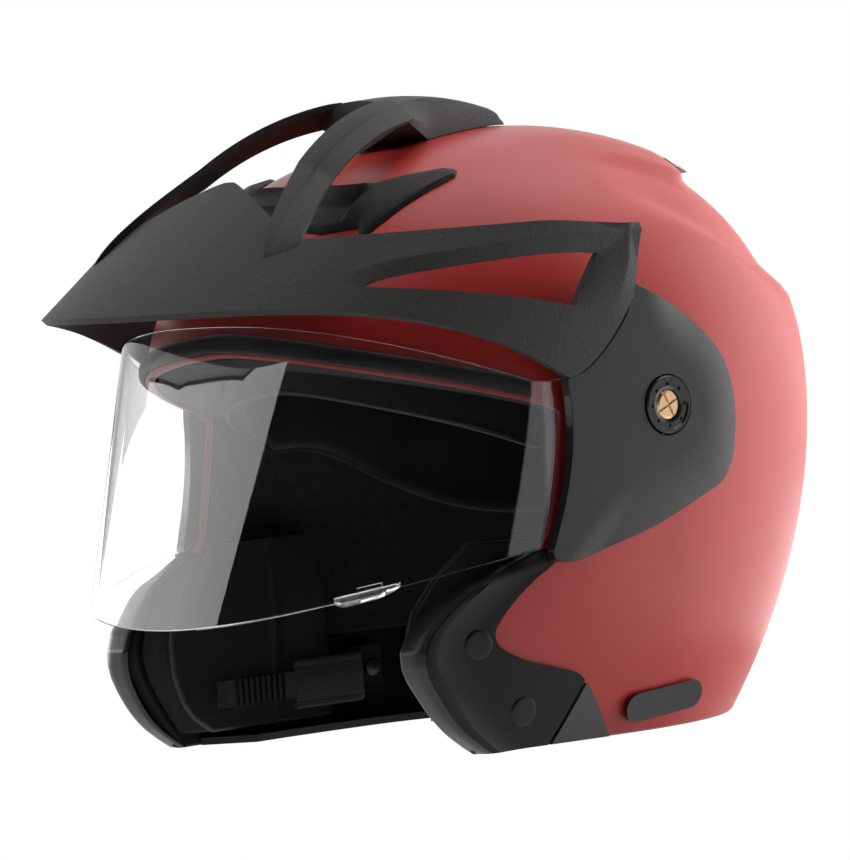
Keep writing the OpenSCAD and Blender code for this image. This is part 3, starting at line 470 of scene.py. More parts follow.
def knit(name, dark, light):
    """Brushed knit fabric: crossed ribs of yarn under a nap."""
    n = Nodes(name)
    ribs = n.math("MULTIPLY", n.wave(YARN_SCALE, "X", 1.0), n.wave(YARN_SCALE, "Z", 1.0))
    ribs = n.math("ADD", ribs, n.wave(YARN_SCALE, "Y", 1.0))
    n.colours(n.noise(500, 5, 0.7), dark, light)
    n.roughness(n.noise(200, 3), 0.85, 0.97)
    first = n.bump(ribs, 0.35, 0.0004)
    n.bump(n.noise(2400, 3), 0.4, 0.0003, first)
    n.set(Sheen_Weight=0.25, Sheen_Roughness=0.6, Specular_IOR_Level=0.2)
    return n.material


def foam_beads():
    n = Nodes("moulded_foam")
    n.colours(n.cells(BEAD_SCALE), (0.014, 0.014, 0.015), (0.024, 0.024, 0.025), 0.1, 0.6)
    n.roughness(n.noise(200, 3), 0.75, 0.9)
    n.bump(n.cells(BEAD_SCALE), 0.5, 0.0006)
    return n.material


def webbing():
    n = Nodes("woven_webbing")
    weave = n.math("MULTIPLY", n.wave(420, "Y"), n.wave(300, "Z"))
    n.colours(weave, grey(0.006), (0.02, 0.02, 0.021), 0.1, 0.8)
    n.roughness(n.noise(300, 3), 0.7, 0.85)
    n.bump(weave, 0.6, 0.0005)
    n.set(Sheen_Weight=0.2)
    return n.material


def metal(name, dark, light, rough, stretch):
    n = Nodes(name)
    n.colours(n.noise(400, 4, 0.6, stretch), dark, light)
    n.roughness(n.noise(700, 4, 0.6, stretch), rough * 0.8, rough * 1.3)
    n.bump(n.noise(1200, 3, 0.6, stretch), 0.06, 0.0001)
    n.set(Metallic=1.0)
    return n.material


def clear_sheet(name, rough, tint):
    n = Nodes(name)
    n.roughness(n.noise(40, 2), rough * 0.8, rough * 1.2)
    n.colours(n.noise(15, 2), tint, tuple(c * 1.01 for c in tint))
    n.set(Transmission_Weight=1.0, IOR=1.5, Specular_IOR_Level=0.6)
    return n.material


RED = red_paint()
PEAK_BLACK = grained_black(
    "grained_peak_black", (0.024, 0.023, 0.022), (0.037, 0.035, 0.034), 0.62, 900, 0.30, 0.36)
COVER_BLACK = grained_black(
    "satin_cover_black", (0.020, 0.019, 0.018), (0.027, 0.026, 0.025), 0.58, 1300, 0.10)
GUARD_BLACK = grained_black(
    "satin_guard_black", (0.0050, 0.0051, 0.0050), (0.0075, 0.0076, 0.0074), 0.38, 1500, 0.07, 0.22)
INSERT_BLACK = grained_black(
    "satin_insert_grey", (0.050, 0.048, 0.046), (0.062, 0.060, 0.057), 0.50, 1500, 0.07)
VENT_BLACK = grained_black(
    "satin_vent_black", (0.010, 0.010, 0.0095), (0.015, 0.015, 0.0145), 0.50, 1300, 0.08, 0.22)
VENT_GREY = grained_black("pale_vent_grey", grey(0.36), grey(0.42), 0.45, 1300, 0.06)
BUCKLE_BLACK = grained_black("moulded_buckle_black", grey(0.006), grey(0.010), 0.5, 1400, 0.10, 0.3)
PLATE_GREY = grained_black("moulded_plate_grey", grey(0.04), grey(0.055), 0.5, 1400, 0.08)
TRIM_BLACK = grained_black("moulded_trim_black", grey(0.012), grey(0.018), 0.55, 1000, 0.15)
RIM_GLOSS = gloss_black("gloss_rim_black", grey(0.008), 0.22)
RING_GLOSS = gloss_black("gloss_ring_black", (0.012, 0.011, 0.010), 0.16)
BADGE_GLOSS = gloss_black("gloss_badge_black", grey(0.006), 0.14)
NOSE_GLOSS = gloss_black("gloss_guard_nose", grey(0.010), 0.34)
RIVET_GLOSS = gloss_black("satin_rivet_black", grey(0.014), 0.34)
CAP_BLACK = grained_black("satin_cap_black", grey(0.006), grey(0.009), 0.42, 1500, 0.05, 0.3)
# Near-black for the unpainted inside of the shell, also used as painted shade on the red shell in the
# groove under the guards
BARE_SHELL_AND_SHADE = grained_black("bare_shell_and_painted_shade", grey(0.006), grey(0.010), 0.7, 600, 0.2)
LEVER_RED = gloss_black("gloss_lever_red", (0.30, 0.014, 0.012), 0.25)
RUBBER = rubber()
# Lining and cheek cloth: black knit whose colour is darkened well below black cloth as painted shade of the
# helmet's inside
LINING = knit("knit_lining", (0.003, 0.003, 0.0033), (0.007, 0.007, 0.0074))
CHEEK_CLOTH = knit("knit_cheek_cloth", (0.004, 0.004, 0.0045), (0.009, 0.009, 0.0095))
ROLL_SKIN = grained_black("roll_leatherette", grey(0.010), grey(0.016), 0.6, 500, 0.3)
FOAM = foam_beads()
WEBBING = webbing()
BRASS = metal("turned_brass", (0.72, 0.46, 0.28), (0.84, 0.56, 0.36), 0.38, (1, 1, 6))
STEEL = metal("plain_steel", (0.42, 0.42, 0.43), (0.58, 0.58, 0.60), 0.30, (6, 1, 1))
CLEAR = clear_sheet("clear_shield", 0.012, (0.985, 0.99, 0.99))
CLEAR_TAB = clear_sheet("clear_tab", 0.08, (0.93, 0.94, 0.94))


# Shell and foam

AHEAD, BEHIND, ROWS, LOW_ROWS, FIRST_RING = 56, 128, 36, 44, 88.5
FOAM_CHEEK_Z, FOAM_NAPE_Z, FOAM_SET_BACK = -124.0, -92.0, 0.8
HEAD_MIDDLE, BARE_TOP, BARE_BACK, BARE_TILT = np.array([0, SHELL_C, -40.0]), -58.0, -84.0, -0.3


def dome_grid(t, base, set_back=0.0):
    """Rings from the crown to the brow, then open rows down to the base; t gives the depth at a height."""
    i = np.arange(AHEAD + BEHIND)
    turn = np.where(i < AHEAD, mix(-CORNER_TURN, CORNER_TURN, i / AHEAD),
                    mix(CORNER_TURN, 360 - CORNER_TURN, (i - AHEAD) / BEHIND))
    brow = np.maximum(0, brow_edge(signed(turn)))
    rise = np.degrees(np.arcsin((brow / CROWN_H) ** (DOME_P / 2)))
    a = mix(FIRST_RING, rise, np.arange(ROWS + 1)[:, None] / ROWS)
    rings = shell_pt(turn, (CROWN_H - t(0)) * sin(a) ** (2 / DOME_P), t(0))
    down = np.arange(1, LOW_ROWS + 1)[:, None] / LOW_ROWS
    z = mix(BROW_Z - BROW_DROP, base(np.abs(signed(turn))), down)
    edge = table(z, CHEEK_EDGE) + set_back
    phi = np.where(i == 0, -edge, np.where(i < AHEAD, 0, mix(edge, 360 - edge, (i - AHEAD) / BEHIND)))
    return np.concatenate([rings, shell_pt(phi, z, t(z))])


def dome_solid(outer, inner, base, set_back=0.0):
    keep = np.ones((ROWS + LOW_ROWS, AHEAD + BEHIND), bool)
    keep[ROWS:, :AHEAD] = False
    pole = [[0, SHELL_C, CROWN_H - d + band(0.0, SHELL_C)] for d in (outer(0), inner(0))]
    grids = [dome_grid(t, base, set_back) for t in (outer, inner)]
    return solid(*grids, wrap=True, pole=pole, keep=keep)


def foam_in(z):
    return SHELL_T + LINING_GAP + mix(FOAM_T, FOAM_CHEEK_T, smooth(-z / 45))


def foam_base(turn):
    return mix(FOAM_CHEEK_Z, FOAM_NAPE_Z, smooth((turn - 80) / 14))


def same(depth):
    return lambda z: depth + 0 * np.asarray(z, float)


def paint_faces(obj, wanted):
    """Give a second material to the faces for which wanted(centre, normal) holds."""
    for poly in obj.data.polygons:
        if wanted(np.array(poly.center) * 1000 - PIVOT, np.array(poly.normal)):
            poly.material_index = 1


def unpainted(c, n):
    """Shell faces that look inwards, and the cheek edges behind the guards' noses."""
    inwards = n @ unit(c - HEAD_MIDDLE) < BARE_TILT
    return inwards or (c[2] < BARE_TOP and c[1] < BARE_BACK and n[1] < BARE_TILT)


shell = piece("shell", dome_solid(same(0.0), same(SHELL_T), same(-PIVOT_H)), [RED, BARE_SHELL_AND_SHADE],
              "outer_shell", bevel=1.7, segments=4)
paint_faces(shell, unpainted)
piece("impact_foam", dome_solid(same(SHELL_T + LINING_GAP), foam_in, foam_base, FOAM_SET_BACK), FOAM,
      "eps_liner", bevel=1.5)


# Brow seal: a soft half-round strip

SEAL_LIFT, SEAL_H, SEAL_T, SEAL_ENDS = 1.8, 7.2, 2.6, 3.0


def seal_grid(proud):
    phi = np.linspace(-CORNER_TURN + SEAL_ENDS, CORNER_TURN - SEAL_ENDS, 90)
    v = np.linspace(1, 0, 9)[:, None]
    swell = 0.6 + 0.4 * np.sqrt(np.maximum(0, 1 - (2 * v - 1) ** 2))
    return shell_pt(phi, brow_edge(phi) + SEAL_LIFT + v * SEAL_H, -SEAT - proud * SEAL_T * swell)


piece("brow_strip", solid(seal_grid(1), seal_grid(0)), RUBBER, "brow_seal", bevel=0.5)


# Comfort lining

PAD_CHANNELS, PAD_ROWS, PAD_COLS, PAD_BROW_DROP, PAD_NAPE_Z = 7, 44, 168, 16.0, -48.0
BINDING_R, WELT_R = 1.6, 1.1
CHEEK_PAD_TOP, CHEEK_PAD_LOW, CHEEK_PAD_REAR, CHEEK_STEPS = -48.0, -123.0, -14.0, 56
ROLL_FROM, ROLL_TO, ROLL_TOP, ROLL_GAP = 114.0, 246.0, -93.0, 1.1


def pad_grid(swell):
    """Lining from the crown to its edge: swell 0 lies on the foam, and 1 is the face with its channels."""
    phi = around(PAD_COLS)
    brow = brow_edge(signed(phi)) - PAD_BROW_DROP
    edge = mix(brow, PAD_NAPE_Z, smooth((np.abs(signed(phi)) - 70) / 70))
    down = np.arange(PAD_ROWS + 1)[:, None] / PAD_ROWS
    rim = smooth((1 - down) * 8 / 1.5)
    rib = 1 - 0.3 * smooth(down * 6) * np.abs(cos(PAD_CHANNELS * phi / 2)) ** 8
    fill = swell * PAD_T * mix(0.45, 1, rim) * rib
    t = foam_in(0) + PAD_GAP + fill
    z = mix((CROWN_H - t) * 0.999, edge, 1 - (1 - np.maximum(0.012, down)) ** 2)
    return shell_pt(phi, z, foam_in(z) + PAD_GAP + fill)


pad_out, pad_in = pad_grid(0), pad_grid(1)
pad_pole = [pad_out[0].mean(0), pad_in[0].mean(0)]
lining = piece("comfort_lining", solid(pad_out, pad_in, wrap=True, pole=pad_pole), LINING,
               "crown_pad", bevel=1.2)
piece("lining_binding", tube((pad_in[-1] + pad_out[-1]) / 2, BINDING_R), RUBBER)


def pillow(u, v):
    return sin(180 * mix(0.06, 0.94, u)) ** 0.45 * sin(180 * mix(0.06, 0.94, v)) ** 0.45


def cheek_pad_grid(swell):
    steps = np.linspace(0, 1, CHEEK_STEPS)
    v, u = np.meshgrid(steps, steps, indexing="ij")
    z = mix(CHEEK_PAD_TOP, CHEEK_PAD_LOW, v)
    y = mix(table(z, CHEEK_PAD_LINE), CHEEK_PAD_REAR, u)
    x = shell_x(y, z, foam_in(z) + PAD_GAP)
    channel = np.exp(-((u - 0.52 - 0.06 * np.sin(3 * v)) / 0.022) ** 2)
    face = mix(x, CHEEK_PAD_IN + 1.6 * channel, pillow(u, v))
    return points(mix(x, face, swell), y, z)


cheek_pad = solid(cheek_pad_grid(0), cheek_pad_grid(1))
mid = cheek_pad_grid(0.5)
cheek_welt = tube(np.concatenate([mid[0, :-1], mid[:-1, -1], mid[-1, :0:-1], mid[:0:-1, 0]]), WELT_R)
for side in SIDES:
    pad = piece("cheek_cushion_" + side, on_side(cheek_pad, side), CHEEK_CLOTH, "cheek_pad_" + side,
                bevel=1.5, sharp=50)
    piece("cheek_welt_" + side, on_side(cheek_welt, side), RUBBER)


def roll_rings():
    floor_z = -PIVOT_H + 3 + SEAT
    half_h = (ROLL_TOP - floor_z) / 2
    k = np.linspace(0, 1, 110)[:, None]
    a = around(36)
    gather = 1 - 0.025 * np.abs(np.sin(k * math.pi * 14)) ** 6
    fill = sin(180 * mix(0.03, 0.97, k)) ** 0.3 * gather
    z = floor_z + half_h * (1 - fill * sin(a))
    t = SHELL_T + ROLL_GAP + ROLL_T / 2 * (1 - fill * cos(a))
    return shell_pt(mix(ROLL_FROM, ROLL_TO, k), z, t)


roll = piece("nape_roll", loft(roll_rings()), ROLL_SKIN, "neck_roll", sharp=60)


# Peak

PEAK_HALF_W, PEAK_REACH, PEAK_Z, PEAK_MID = 125.5, 155.0, 52.0, -30.0
WING_HALF_W, WING_REACH, WING_Z, WING_MID = 123.0, 142.0, 77.0, -6.0
SIDE_DROP, SIDE_TURN, WING_DROP = 40.0, 84.0, 4.0
PEAK_T, HOLE_FROM, HOLE_TO, END_SPAN = 3.0, 47.5, 81.0, 8.0
RIDGE_H, HOLE_ROLL, HOLE_LEAN, END_RIDGE = 2.2, 1.0, 1.8, 5.6
TIP_RISE, TIP_FLAT, TIP_SPAN = 0.95, 1.2, 27.8
ARCH_Z, ARCH_TALL, ARCH_LONG, ARCH_TOP_Y = 125.8, 145.5, 132.0, -28.0
ARCH_WIDE_Y, ARCH_WIDE_X, ARCH_LEAVES, ARCH_BULGE = -124.0, 43.8, -98.0, 5.0
ARCH_SECTION = [
    (-6.0, 4.0), (-3.4, 3.1), (-1.2, 1.3), (-0.2, -0.5), (1.0, -0.7), (7.2, -5.2), (6.0, -6.6), (-5.7, 1.3)]
ARCH_FOOT = [
    (25.6, 0.79, 0.2), (26.0, 0.78, 0.5), (26.4, 0.775, 0.4), (26.8, 0.775, 0.1), (27.2, 0.78, 0.1),
    (31.0, 0.9, 0.1), (31.0, 0.93, -1.2), (25.6, 0.83, -1.2)]
BULGE_SHARE = np.array([1, 1, 1, 1, 1, 0.9, 0.4, 0.4])[:, None]
SPINE_FROM, SPINE_BROW, SPINE_FOOT, SPINE_END, SPINE_NOSE = -27.0, -38.0, -23.0, 28.0, 6.0
SPINE_WIDE, SPINE_NARROW, END_TURN, END_SWEEP = 19.0, 6.5, 82.5, 8.5
SPINE_TIP, SPINE_RISE, SPINE_CURVE = SPINE_BROW - 6, 4.2, 0.003


def peak_pt(q, w):
    """Point of the sheet at a turn from straight ahead and a share of the way up."""
    a = np.abs(q)
    edge = PEAK_Z - SIDE_DROP * (a / SIDE_TURN) ** 4
    lo = points(PEAK_HALF_W * sin(q), PEAK_MID - PEAK_REACH * cos(q), edge)
    top = WING_Z - WING_DROP * smooth((a - 70) / 20)
    hi = points(WING_HALF_W * sin(q), WING_MID - WING_REACH * cos(q), top)
    return mix(lo, hi, np.asarray(w)[..., None])


def wing_end(w):
    return END_TURN + END_SWEEP * np.minimum(1, w / 0.62) ** 0.75 - smooth((w - 0.7) / 0.3)


def peak_row(q, j):
    """Share of the way up the sheet at turn q, for a row from 0 at the lower edge to 5 at the top."""
    a = abs(q)
    share = min(1, max(0, (a - HOLE_FROM) / (HOLE_TO - HOLE_FROM)))
    hole_low, hole_high = 0.31 + 0.13 * share ** 2, 0.35 + 0.45 * share ** 0.62
    crease = min(0.96, 0.5 + 0.46 * (max(0, a - 45) / 40) ** 0.55)
    wing = [0, hole_low / 2, hole_low, hole_high, max(hole_high + 0.06, crease), 1]
    top = max(1, 1 + TIP_RISE * (1 - (max(0, a - TIP_FLAT) / TIP_SPAN) ** 1.2))
    front = [top * k / 5 for k in range(6)]
    s = smooth((a - 27) / 18)
    return np.interp(j, range(6), [mix(f, g, s) for f, g in zip(front, wing)])


def peak_relief(q, j):
    """Ridges of the wing's upper bar and end bar; the hole's rear edge rolls inwards."""
    over = abs(q) - HOLE_TO
    upper = smooth((abs(q) - 40) / 14) * max(0, 1 - abs(j - 4))
    fade = END_RIDGE if over < END_RIDGE else END_SPAN - END_RIDGE
    end = max(0, 1 - abs(over - END_RIDGE) / fade) * min(1, max(0, j - 2))
    roll = 0.0
    if 0 <= over < 3 and 2 < j < 3:
        roll = (1 - over / 3) ** 2 * math.sin(math.pi * (j - 2)) ** 0.6
    return RIDGE_H * max(upper, end) - HOLE_ROLL * roll


def outwards(p):
    return unit(p * [1, 1, 0] - [0, WING_MID, 0])


def proud_of_sheet(q, w, out):
    p = peak_pt(q, w)
    return p + out * outwards(p)


def peak_sheet():
    half = np.concatenate([np.linspace(0, HOLE_FROM, 37), np.linspace(HOLE_FROM, HOLE_TO, 33)[1:],
                           np.linspace(HOLE_TO, HOLE_TO + END_SPAN, 25)[1:]])
    turns = np.concatenate([-half[:0:-1], half])
    heights = np.linspace(5, 0, 41)
    grid = np.empty((len(heights), len(turns), 3))
    for r, j in enumerate(heights):
        for c, q in enumerate(turns):
            w = peak_row(q, j)
            over = abs(q) - HOLE_TO
            lean = HOLE_LEAN * min(1, max(0, j - 2)) * min(1, (5 - j) / 2)
            turn = q
            if over >= 0:
                turn = math.copysign(mix(HOLE_TO + lean, wing_end(w), over / END_SPAN), q)
            grid[r, c] = proud_of_sheet(turn, w, peak_relief(q, j))
    keep = np.ones((len(heights) - 1, len(turns) - 1), bool)
    mid_turn = np.abs((turns[1:] + turns[:-1]) / 2)
    mid_row = (heights[1:] + heights[:-1]) / 2
    keep[np.ix_((mid_row > 2) & (mid_row < 3), (mid_turn > HOLE_FROM) & (mid_turn < HOLE_TO))] = False
    return solid(grid, grid - PEAK_T * grid_normals(grid), keep=keep)


def arch_pt(y):
    y = np.asarray(y, float)
    run = y - ARCH_WIDE_Y
    top = ARCH_Z - ARCH_TALL + ARCH_TALL * np.sqrt(1 - ((y - ARCH_TOP_Y) / ARCH_LONG) ** 2)
    return points(ARCH_WIDE_X - 0.305 * run + 0.0003 * run ** 2, y, top)


def arch_ring(y):
    """Section of an arch: a rolled upper face, a groove and a flat flank."""
    ahead = unit(arch_pt(y + 1) - arch_pt(y - 1))
    side = unit(np.cross(ahead, [0, 0, 1.0]))
    up = np.cross(side, ahead)
    return np.array([arch_pt(y) + a * side + b * up for a, b in ARCH_SECTION])


def spine_half_w(y):
    return mix(SPINE_WIDE, SPINE_NARROW, (y - SPINE_FROM) / (SPINE_END - SPINE_FROM))


def spine_top(y):
    fall = 4 * smooth((y - SPINE_END + SPINE_NOSE) / SPINE_NOSE) ** 2
    high = ARCH_Z + SPINE_RISE - SPINE_CURVE * (y - SPINE_FROM) ** 2
    return max(dome_z(0.0, y) + SEAT + 1.5, high - fall)


def arch():
    """A leaning band from its pointed foot in front of the sheet back into the crown spine."""
    foot = np.array([proud_of_sheet(*row) for row in ARCH_FOOT])
    start = arch_ring(ARCH_LEAVES)
    rings = []
    for t in np.linspace(0, 1, 25)[:-1]:
        ring = mix(foot, start, t)
        bulge = ARCH_BULGE * math.sin(math.pi * t ** 0.8)
        rings.append(ring + bulge * BULGE_SHARE * outwards(ring.mean(0)))
    for y in np.linspace(ARCH_LEAVES, SPINE_BROW, 40):
        ring = arch_ring(y)
        ring[3] = mix(ring[3], (ring[2] + ring[4]) / 2, smooth((y - SPINE_BROW + 26) / 16))
        rings.append(mix(ring, ring.mean(0), 0.06 * smooth((y - SPINE_TIP) / 6)))
    return loft(rings)


def spine():
    """Ridge along the crown whose flanks carry on from the arches, with a slanted front over the shell."""
    apex = arch_ring(SPINE_TIP)[5]
    w = spine_half_w(SPINE_FOOT)
    heel = [w, SPINE_FOOT, dome_z(w, SPINE_FOOT) + SEAT]
    rings = []
    for y in np.linspace(SPINE_TIP, SPINE_END, 60):
        w, top = spine_half_w(y), spine_top(y)
        base = dome_z(w, y) + SEAT
        along = (y - SPINE_TIP) / (SPINE_FOOT - SPINE_TIP)
        foot = mix(apex, heel, along) if along < 1 else np.array([w, y, base])
        s = smooth(along * 0.75)
        near = arch_ring(min(y, -8.0))
        flank = mix(near[5], [w * 0.96, y, mix(base, top, 0.35)], s)
        groove = mix(near[4], [w * 0.86, y, mix(base, top, 0.74)], s)
        crease = mix(near[2], [w * 0.76, y, top - 1.5], s)
        half = [foot, flank, groove, crease, np.array([w * 0.4, y, top - 0.4])]
        bed = [0, y, dome_z(0.0, y) + SEAT]
        rings.append([bed] + half + [[0, y, top]] + [p * [-1, 1, 1] for p in half[::-1]])
    return loft(rings)


piece("peak_moulding", joined([peak_sheet(), arch(), mirrored(arch()), spine()]), PEAK_BLACK,
      "peak", bevel=0.7, sharp=24)


# Side covers

SHIELD_T, EAR_R, BOSS_R, PLATE_T, EAR_GAP = 2.0, 16.0, 7.0, 2.0, 0.4
EAR_X = SHELL_HALF_W + SEAT + PLATE_T + EAR_GAP + SHIELD_T / 2
COVER_T, RIM_T, COVER_R, COVER_GAP, COVER_DOME = 2.5, 4.5, 42.0, 1.1, 1200.0
COVER_X = EAR_X + SHIELD_T / 2 + COVER_GAP + COVER_T
RING_R, COVER_FLAT, SEAM_TURN = 11.5, 0.45, 82.0
RIM_BACK, RIM_TOP, RIM_TILT = -44.0, 8.0, 0.75
COVER_HOLE = RING_R + 2 * SEAT


def seam_pt(w):
    p = peak_pt(wing_end(w), w)
    return [p[1] + 0.5, p[2] - 0.5]


def cover_outline():
    front = [[-49, 6], [-49, -6], [-51, -20], [-54.5, -34], [-58.5, -46], [-60.5, -53], [-57, -57]]
    under = [[-44, -57], [-30, -54], [-10, -49], [6, -43.8], [22, -37.6], [33, -33.3]]
    rear = [(-35, 5.1), (-28, 4.3), (-14, 2.5), (0, 1.2), (17, 0.2), (34, -1.3), (55, -1.9), (68, -1.3),
            (83, 0.3), (94, 3.8)]
    back = [[(COVER_R + d) * cos(a), (COVER_R + d) * sin(a)] for a, d in rear]
    seam = [seam_pt(w) for w in (0.69, 0.52, 0.4, 0.3, 0.2, 0.1, 0)]
    pts = front + under + back + seam
    return spline(pts + pts[:1], 5, corners=(0, len(pts) - len(seam), len(pts) - 1))[:-1]


def cover_cap(p):
    return COVER_X - (p[..., 0] ** 2 + p[..., 1] ** 2) / COVER_DOME


def cover_grids():
    """Domed cover from its round hole to its outline; its rear edge falls to the shell."""
    edge = cover_outline()
    turn = np.degrees(np.arctan2(edge[:, 1], -edge[:, 0]))
    seated = np.where(turn > 0, smooth((turn - SEAM_TURN) / 44), smooth((-46 - turn) / 14))
    fall = cover_cap(edge) - shell_x(edge[:, 0], edge[:, 1], 0.0) - COVER_T - SEAT
    hole = COVER_HOLE * unit(edge)
    shares = [(0.0, f) for f in np.linspace(0, 1, 9)[:-1]]
    shares += [(s, 1.0) for s in np.linspace(COVER_FLAT, 1, 34)]
    outer, inner = [], []
    for s, f in shares:
        p = mix(hole, edge * COVER_FLAT, f) if s == 0 else edge * s
        wall = np.where(turn > SEAM_TURN, fall, RIM_T - COVER_T)
        rim = wall * smooth((s - 0.86) / 0.14) * (1 - seated)
        x = cover_cap(p) - seated * fall * max(0, (s - COVER_FLAT) / (1 - COVER_FLAT)) ** 2
        outer.append(points(x, p[:, 0], p[:, 1]))
        inner.append(points(x - COVER_T - rim, p[:, 0], p[:, 1]))
    return np.array(outer), np.array(inner)


def on_front_rim(c, n):
    return abs(n[0]) < RIM_TILT and c[1] < RIM_BACK and c[2] < RIM_TOP


cover = solid(*cover_grids(), wrap=True)
for side in SIDES:
    obj = piece("pivot_cover_" + side, on_side(cover, side), [COVER_BLACK, RIM_GLOSS],
                "side_cover_" + side, bevel=0.9, sharp=35)
    paint_faces(obj, on_front_rim)


# Shield

SHIELD_P, SHIELD_TURN = 2.45, 69.0
SHIELD_TOP_R, SHIELD_LOW_R, SHIELD_TOP_Z, SHIELD_LOW_Z = 139.0, 180.0, 44.0, 74.0
END_TOP, END_LOW, PIVOT_PLAY = 14.0, 51.0, 0.08


def shield_pt(q, w):
    q = np.asarray(q, float)
    x = EAR_X * sin(np.abs(q)) ** (2 / SHIELD_P) * np.sign(q)
    top = mix(SHIELD_TOP_Z, END_TOP, (np.abs(q) / SHIELD_TURN) ** 1.9)
    bottom = -mix(SHIELD_LOW_Z, END_LOW, (np.abs(q) / SHIELD_TURN) ** 1.5)
    ring = cos(q) ** (2 / SHIELD_P)
    hi = points(x, -np.sqrt(np.maximum(0, (SHIELD_TOP_R * ring) ** 2 - top ** 2)), top)
    lo = points(x, -np.sqrt(np.maximum(0, (SHIELD_LOW_R * ring) ** 2 - bottom ** 2)), bottom)
    return mix(lo, hi, w)


ARM_END = shield_pt(SHIELD_TURN, 1.0)


def arm_pt(y, w, side):
    y = np.asarray(y, float)
    x = mix(EAR_X, ARM_END[0], np.maximum(0, -y - EAR_R) / (-ARM_END[1] - EAR_R))
    share = np.maximum(0, y / ARM_END[1])
    top = mix(EAR_R, END_TOP, share)
    bottom = -mix(EAR_R, END_LOW, share ** 1.7)
    return points(side * x, y, mix(bottom, top, w))


def shield_sheet():
    q = np.linspace(-SHIELD_TURN, SHIELD_TURN, 131)
    y = np.linspace(ARM_END[1], -EAR_R, 18)[1:]
    rows = []
    for w in np.linspace(1, 0, 33):
        rows.append(np.concatenate([arm_pt(y, w, -1)[::-1], shield_pt(q, w), arm_pt(y, w, 1)]))
    grid = np.array(rows)
    n = grid_normals(grid)
    return solid(grid + n * SHIELD_T / 2, grid - n * SHIELD_T / 2)


def shield_ear(side):
    """Flat end of the shield's arm, round behind, with the hole that turns on the pivot boss."""
    turn = around(72)
    ring = points(0, cos(turn), sin(turn))
    square = EAR_R / np.maximum(np.abs(cos(turn)), np.abs(sin(turn)))
    reach = np.where(cos(turn) < 0, square, EAR_R)[:, None]
    rows = np.array([mix((BOSS_R + PIVOT_PLAY) * ring, reach * ring, s) for s in np.linspace(0, 1, 5)])
    x = side * EAR_X
    outer = rows + [x + side * SHIELD_T / 2, 0, 0]
    inner = rows + [x - side * SHIELD_T / 2, 0, 0]
    return solid(outer, inner, wrap=True)


piece("clear_visor", joined([shield_sheet(), shield_ear(1), shield_ear(-1)]), CLEAR, "shield",
      body="shield", bevel=0.5, sharp=50, segments=2)


TAB_FROM, TAB_TO, TAB_T = 35.2, 46.6, 2.0


def tab_sheet(rows):
    """Part of the tab from rows of share up the shield, distance off it, and first and last turn."""
    grid = []
    for share, out, first, last in rows:
        p = shield_pt(np.linspace(first, last, 21), share)
        grid.append(p + (out + SHIELD_T / 2 + SEAT) * unit(p * [1, 1, 0]))
    grid = np.array(grid)
    return solid(grid + TAB_T * grid_normals(grid), grid)


def tab_part():
    lip = [(0.016, 0, TAB_FROM, TAB_TO), (0.006, 0.5, TAB_FROM, TAB_TO),
           (-0.004, 1.8, TAB_FROM + 0.4, TAB_TO - 0.5), (-0.013, 3.4, TAB_FROM + 1.3, TAB_TO - 1.5),
           (-0.022, 5.0, TAB_FROM + 2.6, TAB_TO - 2.8)]
    clip = [(share, 0.2, 39.0, 43.4) for share in (0.042, 0.034, 0.026, 0.018)]
    return joined([tab_sheet(lip), tab_sheet(clip)])


piece("lift_tab", tab_part(), CLEAR_TAB, "shield_tab", body="shield", bevel=0.7, sharp=35)


# Cheek guards and inserts

GUARD_T, NOSE_T, GUARD_NOSE, GUARD_WRAP, GUARD_SEAT = 2.2, 7.5, 3.5, 4.8, 0.4
HORN_TOP, HORN_LOW, HORN_T, NOSE_ROLL, NOSE_DEPTH = -51.5, -55.0, 1.5, 20.0, 4.5
GROOVE_TOP, GROOVE_W = -105.2, 2.0
INSERT_TOP, INSERT_LOW, INSERT_TOP_BACK, INSERT_LOW_BACK = -107.0, -129.8, -37.5, -23.0
DARK_TOP_BACK, DARK_LOW_BACK, DARK_H, NOSE_EDGE, NOSE_TILT = -41.0, -27.0, 23.0, 2.2, -0.2
RIVET_PLACES, RIVET_H, RIVET_BED = [(-90, -86.5), (-69, -115)], 0.9, -0.5
RIVET_RINGS = [
    (0.6, 1.0), (2, 1.0), (3.5, 0.98), (4.4, 0.94), (5, 0.86), (5.5, 0.66), (5.9, 0.3), (6.2, -0.2)]
GUARD_LINE = spline([
    [-130, -54], [-106, -39], [-102, -44], [-99, -54], [-95, -68], [-89, -79.5], [-83.5, -82.5], [-78, -80],
    [-70, -72.5], [-63, -63.5], [-58, -55], [-52, -48]], 8, corners=(1,))
NOSE_BULGE = spline([
    [-130, 6], [-126, 2.5], [-120, -1.2], [-112, -2.8], [-102, -3], [-90, -2.2], [-78, -1], [-68, 0],
    [-50, 0]], 6)


def guard_front(z):
    return shell_pt(table(z, CHEEK_EDGE), z, 0.0)[..., 1] - GUARD_NOSE + table(z, NOSE_BULGE)


def guard_back(z):
    return table(z, GUARD_LINE) - GROOVE_W / 2 * smooth((GROOVE_TOP - z) / 1.2)


def guard_full(z):
    """Share of the guard's full thickness, which its horn under the shield doesn't have."""
    return smooth((HORN_LOW - z) / 11)


def guard_grid(nose, body):
    """Guard from its nose, a row of distances behind the front and depths, back over its body."""
    z = np.concatenate([np.linspace(HORN_TOP, -103, 53), np.linspace(-103.3, -107.5, 15),
                        np.linspace(-108, -PIVOT_H + 0.2, 20)])
    front, back = guard_front(z), guard_back(z)
    cols = []
    for behind, depth in nose:
        t = depth if depth > -1 else mix(-HORN_T, depth, guard_full(z))
        cols.append(side_pt(np.minimum(front + behind, back - 0.5 - 0.1 * depth), z, t))
    for u in np.linspace(0, 1, 26)[1:]:
        cols.append(side_pt(mix(front + NOSE_DEPTH, back, u), z, -body(u, z)))
    return np.stack(cols, axis=1)


